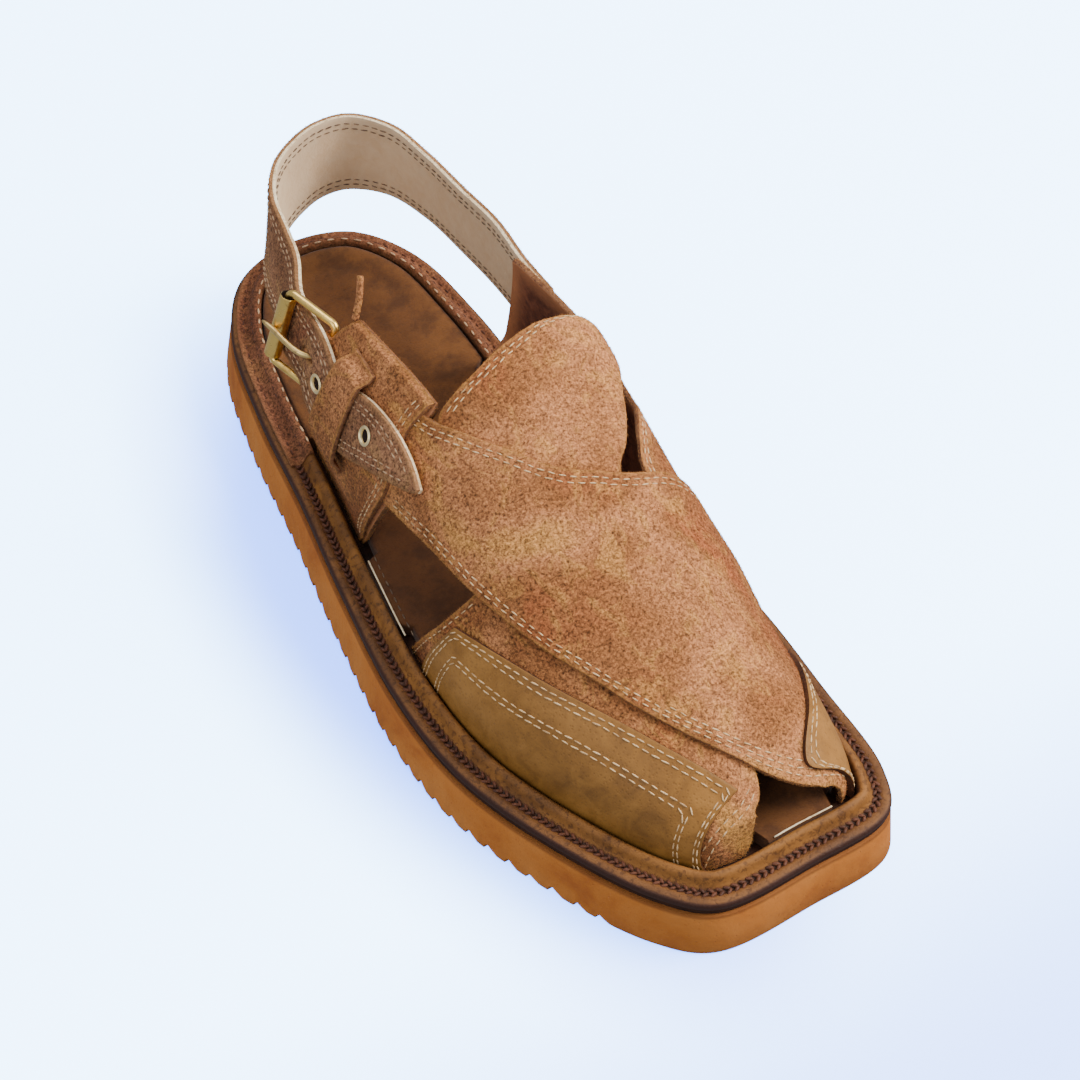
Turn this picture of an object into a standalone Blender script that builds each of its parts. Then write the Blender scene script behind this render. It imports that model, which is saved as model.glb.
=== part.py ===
"""Kaptan chappal, the right shoe: a strapped leather sandal on a welted, serrated rubber sole.

+Z is up, the sole stands on Z = 0, the toe points to -Y and the wearer's outer side to -X.
The origin is the middle of the sole's outline, on the ground. Sizes are in metres.
Places along the shoe are shares of LENGTH from the heel, places across it are shares of
BALL_WIDTH, and girth runs over the last from 0 (inner side) through 0.5 (top) to 1 (outer side).
"""
import math

import bmesh
import bpy
import numpy as np

# Driving sizes of the whole shoe.
LENGTH = 0.288
BALL_WIDTH = 0.110
INSTEP_HEIGHT = 0.100
COLLAR_HEIGHT = 0.076
CLEARANCE = 0.0003

# Sole.
OUTSOLE_THICKNESS = 0.016
OUTSOLE_FLARE = 0.002
GROOVE_PITCH = 0.0072
GROOVE_WIDTH = 0.0030
GROOVE_DEPTH = 0.0018
PLAIN_TOE = 0.020
MIDSOLE_THICKNESS = 0.0022
MIDSOLE_INSET = 0.0008
WELT_INSET = 0.0004
WELT_WIDTH = 0.0101
BEAD_HEIGHT = 0.0022
SLOT_WIDTH = 0.0021
STRAP_WALL = 0.0018
FOOTBED_RISE = 0.0046
FOOTBED_LIP = 0.0012
FOOTBED_ROUND = 0.0008
TOE_CORNER_ROOM = 0.0028
FOOTBED_DISH = 0.010
HEEL_RAND_THICKNESS = 0.0014
HEEL_RAND_END = 0.305
SAMPLES_PER_SPAN = 4

# Upper.
LAYER_LIFT = 0.0015
LAYER_BED = 0.0005
FOLD_LIFT = 0.0030
FOLD_ROLL = 0.14
FOLD_FADE_START = 0.62
FOLD_FADE_END = 0.95
OVERLAY_THICKNESS = 0.0012
OUTER_OVERLAY_GAP = 0.0007
INNER_OVERLAY_GAP = 0.0005
TONGUE_LIFT = 0.0016
TONGUE_RISE_START = 0.68
TONGUE_RISE_END = 0.95
CREST_FULLNESS = 2.3
BULGE_HEIGHT = 0.020
TOE_REACH = 0.0070
TOE_REACH_START = 0.950
TOE_REACH_END = 0.9565
FRONT_EDGE_CROWD = 1.4

# Heel strap, buckle and keeper.
STRAP_THICKNESS = 0.0026
HEEL_STRAP_WIDTH = 0.0290
BUCKLE_STRAP_WIDTH = 0.0206
BUCKLE_STATION = 0.315
BUCKLE_GIRTH = 0.815
BUCKLE_TURN = math.radians(24)
BUCKLE_REACH = 0.019
ROD_RADIUS = 0.00125
ROLLER_RADIUS = 0.0026
ROLLER_SLACK = 0.0013
ROLLER_LENGTH = 0.0222
FRAME_CORNER = 0.0015
PRONG_RADIUS = 0.00085
PRONG_EYE_RADIUS = 0.00245
PRONG_BEND = ((0.0026, 0.00245), (0.0045, 0.0038), (0.0066, 0.0049), (0.0100, 0.0051), (0.0140, 0.0046))
PRONG_TIP = (0.0045, -0.0003)
CHAPE_RADIUS = 0.0030
CHAPE_LENGTH = 0.0185
CHAPE_WINDOW = 0.0042
CHAPE_MARGIN = 0.0020
PRONG_HOLE = (0.0078, 0.0032)
PRONG_HOLE_PLACE = 0.0044
CUTTER_DEPTH = 0.012
EYELET_RADIUS = 0.0031
EYELET_BORE = 0.0016
EYELET_BARREL = 0.0021
EYELET_FLANGE = 0.0005
EYELET_DEPTH = 0.8
KEEPER_THICKNESS = 0.0014
KEEPER_LEG = 0.09
KEEPER_END = 0.0020
THONG_WIDTH = 0.0023
THONG_THICKNESS = 0.0016
THONG_BEND = ((0.0, 0.0, 0.0), (0.0028, 0.0022, 0.0055), (0.0051, 0.0052, 0.0106))

MIDSOLE_TOP = OUTSOLE_THICKNESS + CLEARANCE + MIDSOLE_THICKNESS
UPPER_BASE = MIDSOLE_TOP + CLEARANCE
SLOT_INSET = WELT_INSET + WELT_WIDTH + SLOT_WIDTH

# Outline of the sole seen from above: (across, along), from the heel round the outer side.
OUTLINE = (
    (0.027, 0.003), (-0.164, 0.028), (-0.300, 0.101), (-0.382, 0.212), (-0.445, 0.347),
    (-0.518, 0.483), (-0.573, 0.622), (-0.564, 0.740), (-0.464, 0.861), (-0.336, 0.955),
    (-0.227, 0.993), (0.055, 1.000), (0.309, 0.993), (0.382, 0.948), (0.409, 0.837),
    (0.427, 0.712), (0.391, 0.556), (0.355, 0.382), (0.373, 0.212), (0.345, 0.094),
    (0.227, 0.024),
)

# Sections of the last: (station, height of INSTEP_HEIGHT, ridge across, fullness inner, outer,
# bulge over the slot inner, outer of BALL_WIDTH).
LAST = (
    (0.21, 0.98, 0.060, 5.0, 2.4, 0.073, 0.024),
    (0.35, 0.98, 0.060, 5.0, 2.4, 0.073, 0.024),
    (0.47, 0.97, 0.060, 5.0, 2.3, 0.068, 0.016),
    (0.56, 0.88, 0.045, 4.4, 2.3, 0.048, 0.012),
    (0.66, 0.75, 0.015, 3.5, 2.4, 0.032, 0.018),
    (0.75, 0.635, -0.005, 3.3, 2.5, 0.028, 0.018),
    (0.84, 0.54, -0.005, 3.2, 2.5, 0.026, 0.018),
    (0.91, 0.45, 0.000, 3.0, 2.5, 0.012, 0.009),
    (0.962, 0.35, 0.000, 3.0, 2.5, 0.000, 0.000),
)

# Straps as rows of two edge points on the last: (station, girth, station, girth).
# The under strap, front edge and rear edge, from the outer slot to the tongue's round end.
UNDER_STRAP = (
    (0.956, 1.000, 0.575, 1.000), (0.9562, 0.860, 0.605, 0.920), (0.9548, 0.680, 0.628, 0.850),
    (0.950, 0.590, 0.643, 0.775), (0.931, 0.520, 0.640, 0.745), (0.860, 0.470, 0.600, 0.735),
    (0.780, 0.445, 0.560, 0.720), (0.700, 0.435, 0.525, 0.710), (0.636, 0.438, 0.495, 0.700),
    (0.609, 0.384, 0.489, 0.665), (0.584, 0.346, 0.486, 0.615), (0.553, 0.311, 0.479, 0.550),
    (0.524, 0.270, 0.474, 0.480), (0.503, 0.260, 0.477, 0.400), (0.489, 0.290, 0.481, 0.350),
)
# The top strap, lower edge and upper edge, from under the outer quarter to the inner slot.
TOP_STRAP = (
    (0.430, 0.860, 0.420, 0.740), (0.494, 0.845, 0.486, 0.712), (0.577, 0.800, 0.532, 0.665),
    (0.643, 0.765, 0.567, 0.620), (0.727, 0.715, 0.605, 0.560), (0.779, 0.680, 0.626, 0.490),
    (0.828, 0.650, 0.640, 0.400), (0.880, 0.595, 0.646, 0.320), (0.922, 0.510, 0.654, 0.240),
    (0.9505, 0.400, 0.660, 0.160), (0.9595, 0.280, 0.663, 0.100), (0.958, 0.130, 0.664, 0.050),
    (0.957, 0.000, 0.665, 0.000),
)
# The outer quarter, front edge and rear edge, from its folded top to the slot.
OUTER_QUARTER = (
    (0.483, 0.690, 0.340, 0.722), (0.482, 0.705, 0.336, 0.736), (0.480, 0.750, 0.322, 0.775),
    (0.489, 0.815, 0.320, 0.840), (0.486, 0.850, 0.322, 0.890), (0.456, 0.940, 0.305, 0.950),
    (0.425, 1.000, 0.295, 1.000),
)
# The inner quarter, top edge and slot, from the heel strap to under the top strap.
INNER_QUARTER = (
    (0.333, 0.230, 0.290, 0.000), (0.360, 0.242, 0.330, 0.000), (0.420, 0.250, 0.410, 0.000),
    (0.500, 0.248, 0.500, 0.000), (0.553, 0.252, 0.553, 0.000), (0.584, 0.302, 0.590, 0.000),
    (0.609, 0.342, 0.620, 0.000), (0.640, 0.372, 0.655, 0.000), (0.700, 0.360, 0.700, 0.000),
)
# Smooth overlays, top edge and slot edge, from the rear to the toe.
OUTER_OVERLAY = (
    (0.647, 0.825, 0.608, 0.985), (0.690, 0.790, 0.660, 0.985), (0.727, 0.762, 0.720, 0.985),
    (0.807, 0.707, 0.800, 0.985), (0.870, 0.660, 0.875, 0.985), (0.905, 0.625, 0.925, 0.985),
    (0.929, 0.595, 0.9515, 0.985),
)
INNER_OVERLAY = (
    (0.790, 0.100, 0.785, 0.015), (0.835, 0.180, 0.830, 0.015), (0.885, 0.275, 0.880, 0.015),
    (0.936, 0.370, 0.930, 0.015), (0.950, 0.200, 0.955, 0.015),
)

# Where straps go down into the slot: (outer side, first station, last station), and the bare
# stretch of the toe between them, across.
STRAP_ROOTS = ((True, 0.270, 0.452), (True, 0.545, 1.1), (False, 0.262, 1.1))
TOE_GAP = (-0.020, 0.190)

# The free part of the heel strap: (across, along, height of COLLAR_HEIGHT, outward lean of its
# upper edge in degrees, width from 0 at the buckle to 1 at the heel).
HEEL_STRAP = (
    (0.333, 0.264, 0.816, -3, 0.90), (0.328, 0.205, 0.810, -4, 0.90), (0.319, 0.130, 0.800, -4, 1.0),
    (0.284, 0.075, 0.800, 0, 1.0), (0.195, 0.040, 0.801, 4, 1.0), (0.102, 0.036, 0.801, 4, 1.0),
    (0.012, 0.048, 0.802, 4, 1.0), (-0.076, 0.071, 0.808, 3, 0.95), (-0.158, 0.108, 0.814, -5, 0.85),
    (-0.208, 0.156, 0.820, -15, 0.55), (-0.240, 0.196, 0.838, -18, 0.3),
)
# The strap's seat on the inner quarter and its tongue on the outer one: (station, girth, width).
STRAP_SEAT = ((0.385, 0.170, 0.90), (0.335, 0.170, 0.92))
STRAP_TONGUE = (
    (0.350, 0.834, 1.00), (0.400, 0.818, 1.00), (0.440, 0.798, 0.92), (0.475, 0.784, 0.74),
    (0.505, 0.774, 0.48), (0.525, 0.768, 0.24), (0.536, 0.764, 0.07),
)
EYELETS = ((0.331, 0.834), (0.445, 0.797))
KEEPER = ((0.388, 0.742), (0.362, 0.905))
KEEPER_WIDTH = 0.0126
THONG_ROOT = (0.3385, 0.724)

COLOURS = {
    "rubber": ((0.58, 0.21, 0.045), 0.75, 0.0),
    "midsole": ((0.07, 0.025, 0.012), 0.6, 0.0),
    "welt": ((0.26, 0.13, 0.045), 0.5, 0.0),
    "suede": ((0.36, 0.16, 0.075), 0.95, 0.0),
    "overlay": ((0.30, 0.15, 0.05), 0.5, 0.0),
    "footbed": ((0.15, 0.08, 0.03), 0.85, 0.0),
    "brass": ((0.80, 0.58, 0.22), 0.25, 1.0),
}


def smooth_loop(points, per_span):
    """Closed smooth curve through points, spaced by the root of each span's length."""
    points = np.asarray(points, float)
    count = len(points)
    curve = []
    for i in range(count):
        a, b, c, d = (points[(i + k) % count] for k in (-1, 0, 1, 2))
        t1, t2, t3 = (math.sqrt(np.linalg.norm(q - p)) for p, q in ((a, b), (b, c), (c, d)))
        leave = ((b - a) / t1 - (c - a) / (t1 + t2) + (c - b) / t2) * t2
        arrive = ((c - b) / t2 - (d - b) / (t2 + t3) + (d - c) / t3) * t2
        for k in range(per_span):
            curve.append(hermite(k / per_span, b, leave, c, arrive))
    return np.array(curve)


def hermite(u, start, leave, end, arrive):
    """Cubic between two points with given end tangents."""
    return ((2 * u**3 - 3 * u**2 + 1) * start + (u**3 - 2 * u**2 + u) * leave
            + (3 * u**2 - 2 * u**3) * end + (u**3 - u**2) * arrive)


def smooth_table(place, rows):
    """Smooth values at places; each row holds a place and then its values."""
    rows = np.asarray(rows, float)
    at, values = rows[:, 0], rows[:, 1:]
    slope = np.diff(values, axis=0) / np.diff(at)[:, None]
    tangent = np.vstack((slope[:1], 0.5 * (slope[1:] + slope[:-1]), slope[-1:]))
    place = np.clip(np.asarray(place, float), at[0], at[-1])
    i = np.clip(np.searchsorted(at, place, side="right") - 1, 0, len(at) - 2)
    span = at[i + 1] - at[i]
    u = ((place - at[i]) / span)[..., None]
    span = span[..., None]
    return hermite(u, values[i], span * tangent[i], values[i + 1], span * tangent[i + 1])


def resample(rows, count):
    """Rows spread evenly by index along the smooth curve through them."""
    rows = np.asarray(rows, float)
    index = np.arange(len(rows), dtype=float)
    return smooth_table(np.linspace(0, len(rows) - 1, count), np.column_stack((index, rows)))


def inset_loop(loop, distance):
    """Loop moved inwards by a distance, or outwards if it is negative, with no folded corners."""
    ahead = np.roll(loop, -1, 0) - np.roll(loop, 1, 0)
    ahead /= np.linalg.norm(ahead, axis=1)[:, None]
    inward = np.column_stack((-ahead[:, 1], ahead[:, 0]))
    if ((loop.mean(0) - loop) * inward).sum() < 0:
        inward = -inward
    moved = loop + distance * inward
    if distance <= 0:
        return moved
    step = np.roll(loop, -1, 0) - loop
    away = moved[:, None] - loop[None]
    share = np.clip((away * step).sum(2) / (step**2).sum(1), 0, 1)
    gap = np.linalg.norm(away - share[..., None] * step, axis=2).min(1)
    good = gap > 0.97 * distance
    index = np.arange(len(loop))
    columns = [np.interp(index, index[good], moved[good, k], period=len(loop)) for k in (0, 1)]
    return np.column_stack(columns)


def outline_loop(per_span):
    """Outline of the sole, measured from the heel and the foot's own line."""
    return smooth_loop([(x * BALL_WIDTH, -s * LENGTH) for x, s in OUTLINE], per_span)


def box_middle(loop):
    """Middle of a loop's box."""
    return 0.5 * (loop.min(0) + loop.max(0))


MIDDLE = box_middle(outline_loop(SAMPLES_PER_SPAN))
SOLE_LOOP = outline_loop(SAMPLES_PER_SPAN) - MIDDLE
FINE_LOOP = outline_loop(2 * SAMPLES_PER_SPAN) - MIDDLE
SLOT_LOOP = inset_loop(SOLE_LOOP, SLOT_INSET)


def across(share):
    """X of a share of BALL_WIDTH."""
    return share * BALL_WIDTH - MIDDLE[0]


def along(share):
    """Y of a share of LENGTH from the heel."""
    return -share * LENGTH - MIDDLE[1]


def slot_sides(y):
    """X of the slot's inner and outer side at each Y, and Y kept within the slot."""
    a, b = SLOT_LOOP, np.roll(SLOT_LOOP, -1, 0)
    y = np.clip(y, a[:, 1].min() + 0.00015, a[:, 1].max() - 0.00015)
    level = y[..., None]
    crosses = (a[:, 1] <= level) != (b[:, 1] <= level)
    with np.errstate(divide="ignore", invalid="ignore"):
        x = a[:, 0] + (level - a[:, 1]) / (b[:, 1] - a[:, 1]) * (b[:, 0] - a[:, 0])
    return np.where(crosses, x, -1).max(-1), np.where(crosses, x, 1).min(-1), y


def last_point(station, girth):
    """Points on the last, from stations and girths."""
    station, girth = np.broadcast_arrays(np.asarray(station, float), np.asarray(girth, float))
    inner_x, outer_x, y = slot_sides(along(station))
    outer_x = outer_x + TOE_REACH * ramp(station, TOE_REACH_START, TOE_REACH_END)
    columns = np.moveaxis(smooth_table(station, LAST), -1, 0)
    height, ridge, full_in, full_out, bulge_in, bulge_out = columns
    ridge = across(ridge)
    rise = height * INSTEP_HEIGHT - UPPER_BASE
    c = np.cos(np.pi * girth)
    s = np.sin(np.pi * np.clip(girth, 0, 1))
    inner = c > 0
    full = np.where(inner, full_in, full_out)
    low, high = np.full(c.shape, 0.5), np.full(c.shape, 2.0)
    for _ in range(30):
        radius = 0.5 * (low + high)
        outside = (np.abs(c) * radius)**full + (s * radius)**CREST_FULLNESS > 1
        low, high = np.where(outside, low, radius), np.where(outside, radius, high)
    lift = s * radius
    k = np.clip(lift * rise / BULGE_HEIGHT, 0, 1)
    swell = k * k * (3 - 2 * k) * BALL_WIDTH
    reach = np.where(inner, inner_x + bulge_in * swell - ridge, ridge - outer_x + bulge_out * swell)
    x = ridge + np.sign(c) * reach * np.abs(c) * radius
    return np.stack([x, y, UPPER_BASE + rise * lift], -1)


def last_frame(station, girth):
    """Point on the last with its unit normal (outwards) and its unit step round the girth."""
    near, small = 0.002, 0.002
    point = last_point(station, girth)
    lengthwise = last_point(station + near, girth) - last_point(station - near, girth)
    girthwise = (last_point(station, np.clip(np.asarray(girth) + small, 0, 1))
                 - last_point(station, np.clip(np.asarray(girth) - small, 0, 1)))
    normal = np.cross(girthwise, lengthwise)
    normal /= np.linalg.norm(normal, axis=-1, keepdims=True)
    girthwise /= np.linalg.norm(girthwise, axis=-1, keepdims=True)
    return point, normal, girthwise


def last_offset(station, girth, offset):
    """Points at an offset outside the last."""
    point, normal, _ = last_frame(station, girth)
    return point + normal * np.broadcast_to(offset, point.shape[:-1])[..., None]


def ramp(value, start, end):
    """0 before start, 1 after end, smooth between; start may be the larger."""
    k = np.clip((np.asarray(value, float) - start) / (end - start), 0, 1)
    return k * k * (3 - 2 * k)


def top_strap_lift(station, girth):
    """Outer face of the top strap above the last: raised where it crosses another layer."""
    over_under_strap = ramp(girth, 0.22, 0.40)
    over_quarter = ramp(station, 0.79, 0.71)
    return LAYER_LIFT * np.maximum(over_under_strap, over_quarter)


def new_object(name, vertices, faces, colour, helper=False):
    """Mesh object with its faces pointing out; a helper is only used by Boolean modifiers."""
    mesh = bpy.data.meshes.new(name)
    mesh.from_pydata([tuple(map(float, v)) for v in vertices], [], faces)
    bm = bmesh.new()
    bm.from_mesh(mesh)
    bmesh.ops.recalc_face_normals(bm, faces=bm.faces)
    if bm.calc_volume(signed=True) < 0:
        bmesh.ops.reverse_faces(bm, faces=bm.faces)
    bm.to_mesh(mesh)
    bm.free()
    mesh.shade_smooth()
    mesh.set_sharp_from_angle(angle=math.radians(40))
    obj = bpy.data.objects.new(name, mesh)
    bpy.context.scene.collection.objects.link(obj)
    if helper:
        obj.hide_render = True
        obj.display_type = "WIRE"
    else:
        obj.data.materials.append(material(colour))
    return obj


def material(name):
    """Principled material from the COLOURS table."""
    found = bpy.data.materials.get(name)
    if found:
        return found
    rgb, roughness, metallic = COLOURS[name]
    made = bpy.data.materials.new(name)
    made.use_nodes = True
    shader = made.node_tree.nodes["Principled BSDF"]
    shader.inputs["Base Color"].default_value = (*rgb, 1.0)
    shader.inputs["Roughness"].default_value = roughness
    shader.inputs["Metallic"].default_value = metallic
    return made


def boolean(obj, other, operation):
    """Add an exact Boolean modifier."""
    modifier = obj.modifiers.new(other.name, "BOOLEAN")
    modifier.operation = operation
    modifier.object = other
    modifier.solver = "EXACT"


def ring_faces(rows, columns, close_rows):
    """Quads between rings of vertices; the rings themselves are closed."""
    faces = []
    for i in range(rows if close_rows else rows - 1):
        for j in range(columns):
            a, b = i * columns, (i + 1) % rows * columns
            k = (j + 1) % columns
            faces.append((a + j, a + k, b + k, b + j))
    return faces


def loft(name, rings, colour, helper=False):
    """Closed solid through rings of equal counts, with flat ends."""
    count = len(rings[0])
    faces = ring_faces(len(rings), count, False)
    last = (len(rings) - 1) * count
    faces.append(tuple(range(count)))
    faces.append(tuple(last + k for k in range(count)))
    return new_object(name, np.vstack(rings), faces, colour, helper)


def hoop(name, rings, colour, helper=False):
    """Closed solid through rings whose last joins the first, such as a torus."""
    faces = ring_faces(len(rings), len(rings[0]), True)
    return new_object(name, np.vstack(rings), faces, colour, helper)


def level_ring(inset, height, outline=None):
    """Ring of the sole's outline at an inset and a height, or at a height for each point."""
    loop = inset_loop(SOLE_LOOP if outline is None else outline, inset)
    return np.column_stack((loop, np.broadcast_to(height, len(loop))))


def slab(name, outer, inner, colour, helper=False):
    """Closed solid between two grids of points of the same size."""
    rows, columns = outer.shape[:2]
    total = rows * columns
    faces = []
    for i in range(rows - 1):
        for j in range(columns - 1):
            a, b = i * columns + j, (i + 1) * columns + j
            faces.append((a, a + 1, b + 1, b))
            faces.append((total + a, total + b, total + b + 1, total + a + 1))
    rim = [j for j in range(columns)]
    rim += [i * columns + columns - 1 for i in range(1, rows)]
    rim += [(rows - 1) * columns + j for j in range(columns - 2, -1, -1)]
    rim += [i * columns for i in range(rows - 2, 0, -1)]
    for a, b in zip(rim, rim[1:] + rim[:1]):
        faces.append((a, b, total + b, total + a))
    vertices = np.vstack((outer.reshape(-1, 3), inner.reshape(-1, 3)))
    return new_object(name, vertices, faces, colour, helper)


def edge_grid(rows, count, columns, crowd=1.0):
    """Stations and girths between the two edges; crowd above 1 draws columns to the first edge."""
    table = resample(rows, count)
    share = np.linspace(0, 1, columns) ** crowd
    station = table[:, 0:1] * (1 - share) + table[:, 2:3] * share
    girth = table[:, 1:2] * (1 - share) + table[:, 3:4] * share
    return station, np.clip(girth, 0, 1)


def tube(name, path, radius, sides, colour, closed=False, helper=False):
    """Round tube along a path, with filled ends unless it is closed."""
    path = np.asarray(path, float)
    count = len(path)
    if closed:
        step = np.roll(path, -1, 0) - np.roll(path, 1, 0)
    else:
        step = np.gradient(path, axis=0)
    step /= np.linalg.norm(step, axis=1)[:, None]
    flat = np.linalg.svd(path - path.mean(0))[2][2]
    rings = []
    for i in range(count):
        side = flat - step[i] * flat.dot(step[i])
        side /= np.linalg.norm(side)
        other = np.cross(step[i], side)
        angles = 2 * np.pi * np.arange(sides) / sides
        rings.append(path[i] + radius * (np.outer(np.cos(angles), side) + np.outer(np.sin(angles), other)))
    if closed:
        return hoop(name, rings, colour, helper)
    return loft(name, rings, colour, helper)


def turned(name, profile, centre, axis, sides, colour, helper=False):
    """Closed ring turned round an axis from (radius, height) points."""
    axis = np.asarray(axis, float)
    side = np.cross(axis, (0.0, 0.3, 1.0))
    side /= np.linalg.norm(side)
    other = np.cross(axis, side)
    rings = []
    for k in range(sides):
        angle = 2 * math.pi * k / sides
        out = math.cos(angle) * side + math.sin(angle) * other
        rings.append(np.array([centre + r * out + h * axis for r, h in profile]))
    return hoop(name, rings, colour, helper)


def box(name, centre, axes, size, helper=True):
    """Box about a centre, with its three axes as rows."""
    corners = [(x, y, z) for x in (-0.5, 0.5) for y in (-0.5, 0.5) for z in (-0.5, 0.5)]
    vertices = [centre + np.asarray(c) * np.asarray(size) @ np.asarray(axes) for c in corners]
    faces = [(0, 1, 3, 2), (4, 6, 7, 5), (0, 4, 5, 1), (2, 3, 7, 6), (0, 2, 6, 4), (1, 5, 7, 3)]
    return new_object(name, vertices, faces, None, helper)


def make_sole():
    """Flared rubber outsole with transverse grooves, and the thin midsole on it."""
    outsole = loft("outsole", [level_ring(-OUTSOLE_FLARE, 0.0),
                               level_ring(0.0, OUTSOLE_THICKNESS)], "rubber")
    heel, toe = SOLE_LOOP[:, 1].max(), SOLE_LOOP[:, 1].min()
    reach = BALL_WIDTH
    vertices, faces = [], []
    count = int((heel - toe - PLAIN_TOE) / GROOVE_PITCH)
    for k in range(count):
        y = heel - (k + 0.5) * GROOVE_PITCH
        profile = ((y - GROOVE_WIDTH / 2, -GROOVE_DEPTH), (y + GROOVE_WIDTH / 2, -GROOVE_DEPTH),
                   (y + GROOVE_WIDTH / 2, 0.0), (y, GROOVE_DEPTH), (y - GROOVE_WIDTH / 2, 0.0))
        base = len(vertices)
        for x in (-reach, reach):
            vertices += [(x, py, pz) for py, pz in profile]
        n = len(profile)
        faces += [(base + i, base + (i + 1) % n, base + n + (i + 1) % n, base + n + i) for i in range(n)]
        faces += [tuple(base + i for i in range(n)), tuple(base + n + i for i in range(n))]
    boolean(outsole, new_object("groove_cutter", vertices, faces, None, True), "DIFFERENCE")
    bottom = OUTSOLE_THICKNESS + CLEARANCE
    loft("midsole", [level_ring(MIDSOLE_INSET, bottom), level_ring(MIDSOLE_INSET, MIDSOLE_TOP)], "midsole")


def welt_profile():
    """Section of the welt as (inset, height): outer bead, stitch channel, higher inner bead."""
    base = UPPER_BASE
    outer, width = WELT_INSET, WELT_WIDTH
    return (
        (outer, base), (outer, base + 0.4 * BEAD_HEIGHT), (outer + 0.10 * width, base + BEAD_HEIGHT),
        (outer + 0.30 * width, base + 1.05 * BEAD_HEIGHT), (outer + 0.42 * width, base + 0.75 * BEAD_HEIGHT),
        (outer + 0.60 * width, base + 1.20 * BEAD_HEIGHT), (outer + 0.72 * width, base + 2.35 * BEAD_HEIGHT),
        (outer + 0.88 * width, base + 2.55 * BEAD_HEIGHT), (outer + width, base + 2.0 * BEAD_HEIGHT),
        (outer + width, base),
    )


def make_welt():
    """Welt round the whole sole, swept along the outline."""
    hoop("welt", [level_ring(inset, height) for inset, height in welt_profile()], "welt")


def make_heel_rand():
    """Suede strip laid over the welt round the heel."""
    top = welt_profile()[2:9]
    lift = CLEARANCE
    under = [(inset, height + lift) for inset, height in top]
    over = [(inset, height + lift + HEEL_RAND_THICKNESS) for inset, height in reversed(top)]
    end_y = along(HEEL_RAND_END)
    rings = np.array([level_ring(inset, height) for inset, height in under + over])
    keep = np.where(SOLE_LOOP[:, 1] > end_y)[0]
    first = keep[0] if keep[0] != 0 else max(k for k in keep if k - 1 not in keep)
    order = [(first + k) % len(SOLE_LOOP) for k in range(len(keep))]
    loft("heel_rand", [rings[:, k] for k in order], "suede")


def strap_share():
    """For each point of the outline: 1 where straps go down past the footbed, 0 where none does."""
    x, y = FINE_LOOP[:, 0], FINE_LOOP[:, 1]
    station = -(y + MIDDLE[1]) / LENGTH
    share = np.zeros(len(x))
    for outer, start, end in STRAP_ROOTS:
        side = x < across(TOE_GAP[0]) if outer else x > across(TOE_GAP[1])
        if end < 0.9:
            side = (x < 0) if outer else (x > 0)
        share = np.maximum(share, np.where(side & (station > start) & (station < end), 1.0, 0.0))
    return share


def make_footbed():
    """Footbed up to the welt, drawn in where straps pass, dished, with a lip round the heel."""
    wide = SLOT_INSET - SLOT_WIDTH + CLEARANCE
    narrow = SLOT_INSET + STRAP_WALL + CLEARANCE
    top = UPPER_BASE + FOOTBED_RISE
    y = FINE_LOOP[:, 1]
    lip = top + FOOTBED_LIP * ramp(y, 0.0, y.max())
    share = strap_share()[:, None]
    corner = ramp(y, along(0.88), along(0.93))[:, None]

    def edge(extra, height):
        beside_straps = level_ring(narrow + extra, height, FINE_LOOP)
        at_corners = level_ring(narrow + TOE_CORNER_ROOM + extra, height, FINE_LOOP)
        full = level_ring(wide + extra, height, FINE_LOOP)
        return share * (corner * at_corners + (1 - corner) * beside_straps) + (1 - share) * full

    rings = [edge(0.0, UPPER_BASE), edge(0.0, lip - FOOTBED_ROUND), edge(FOOTBED_ROUND, lip),
             edge(FOOTBED_DISH, top - 0.4 * FOOTBED_LIP)]
    loft("footbed", rings, "footbed")


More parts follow.
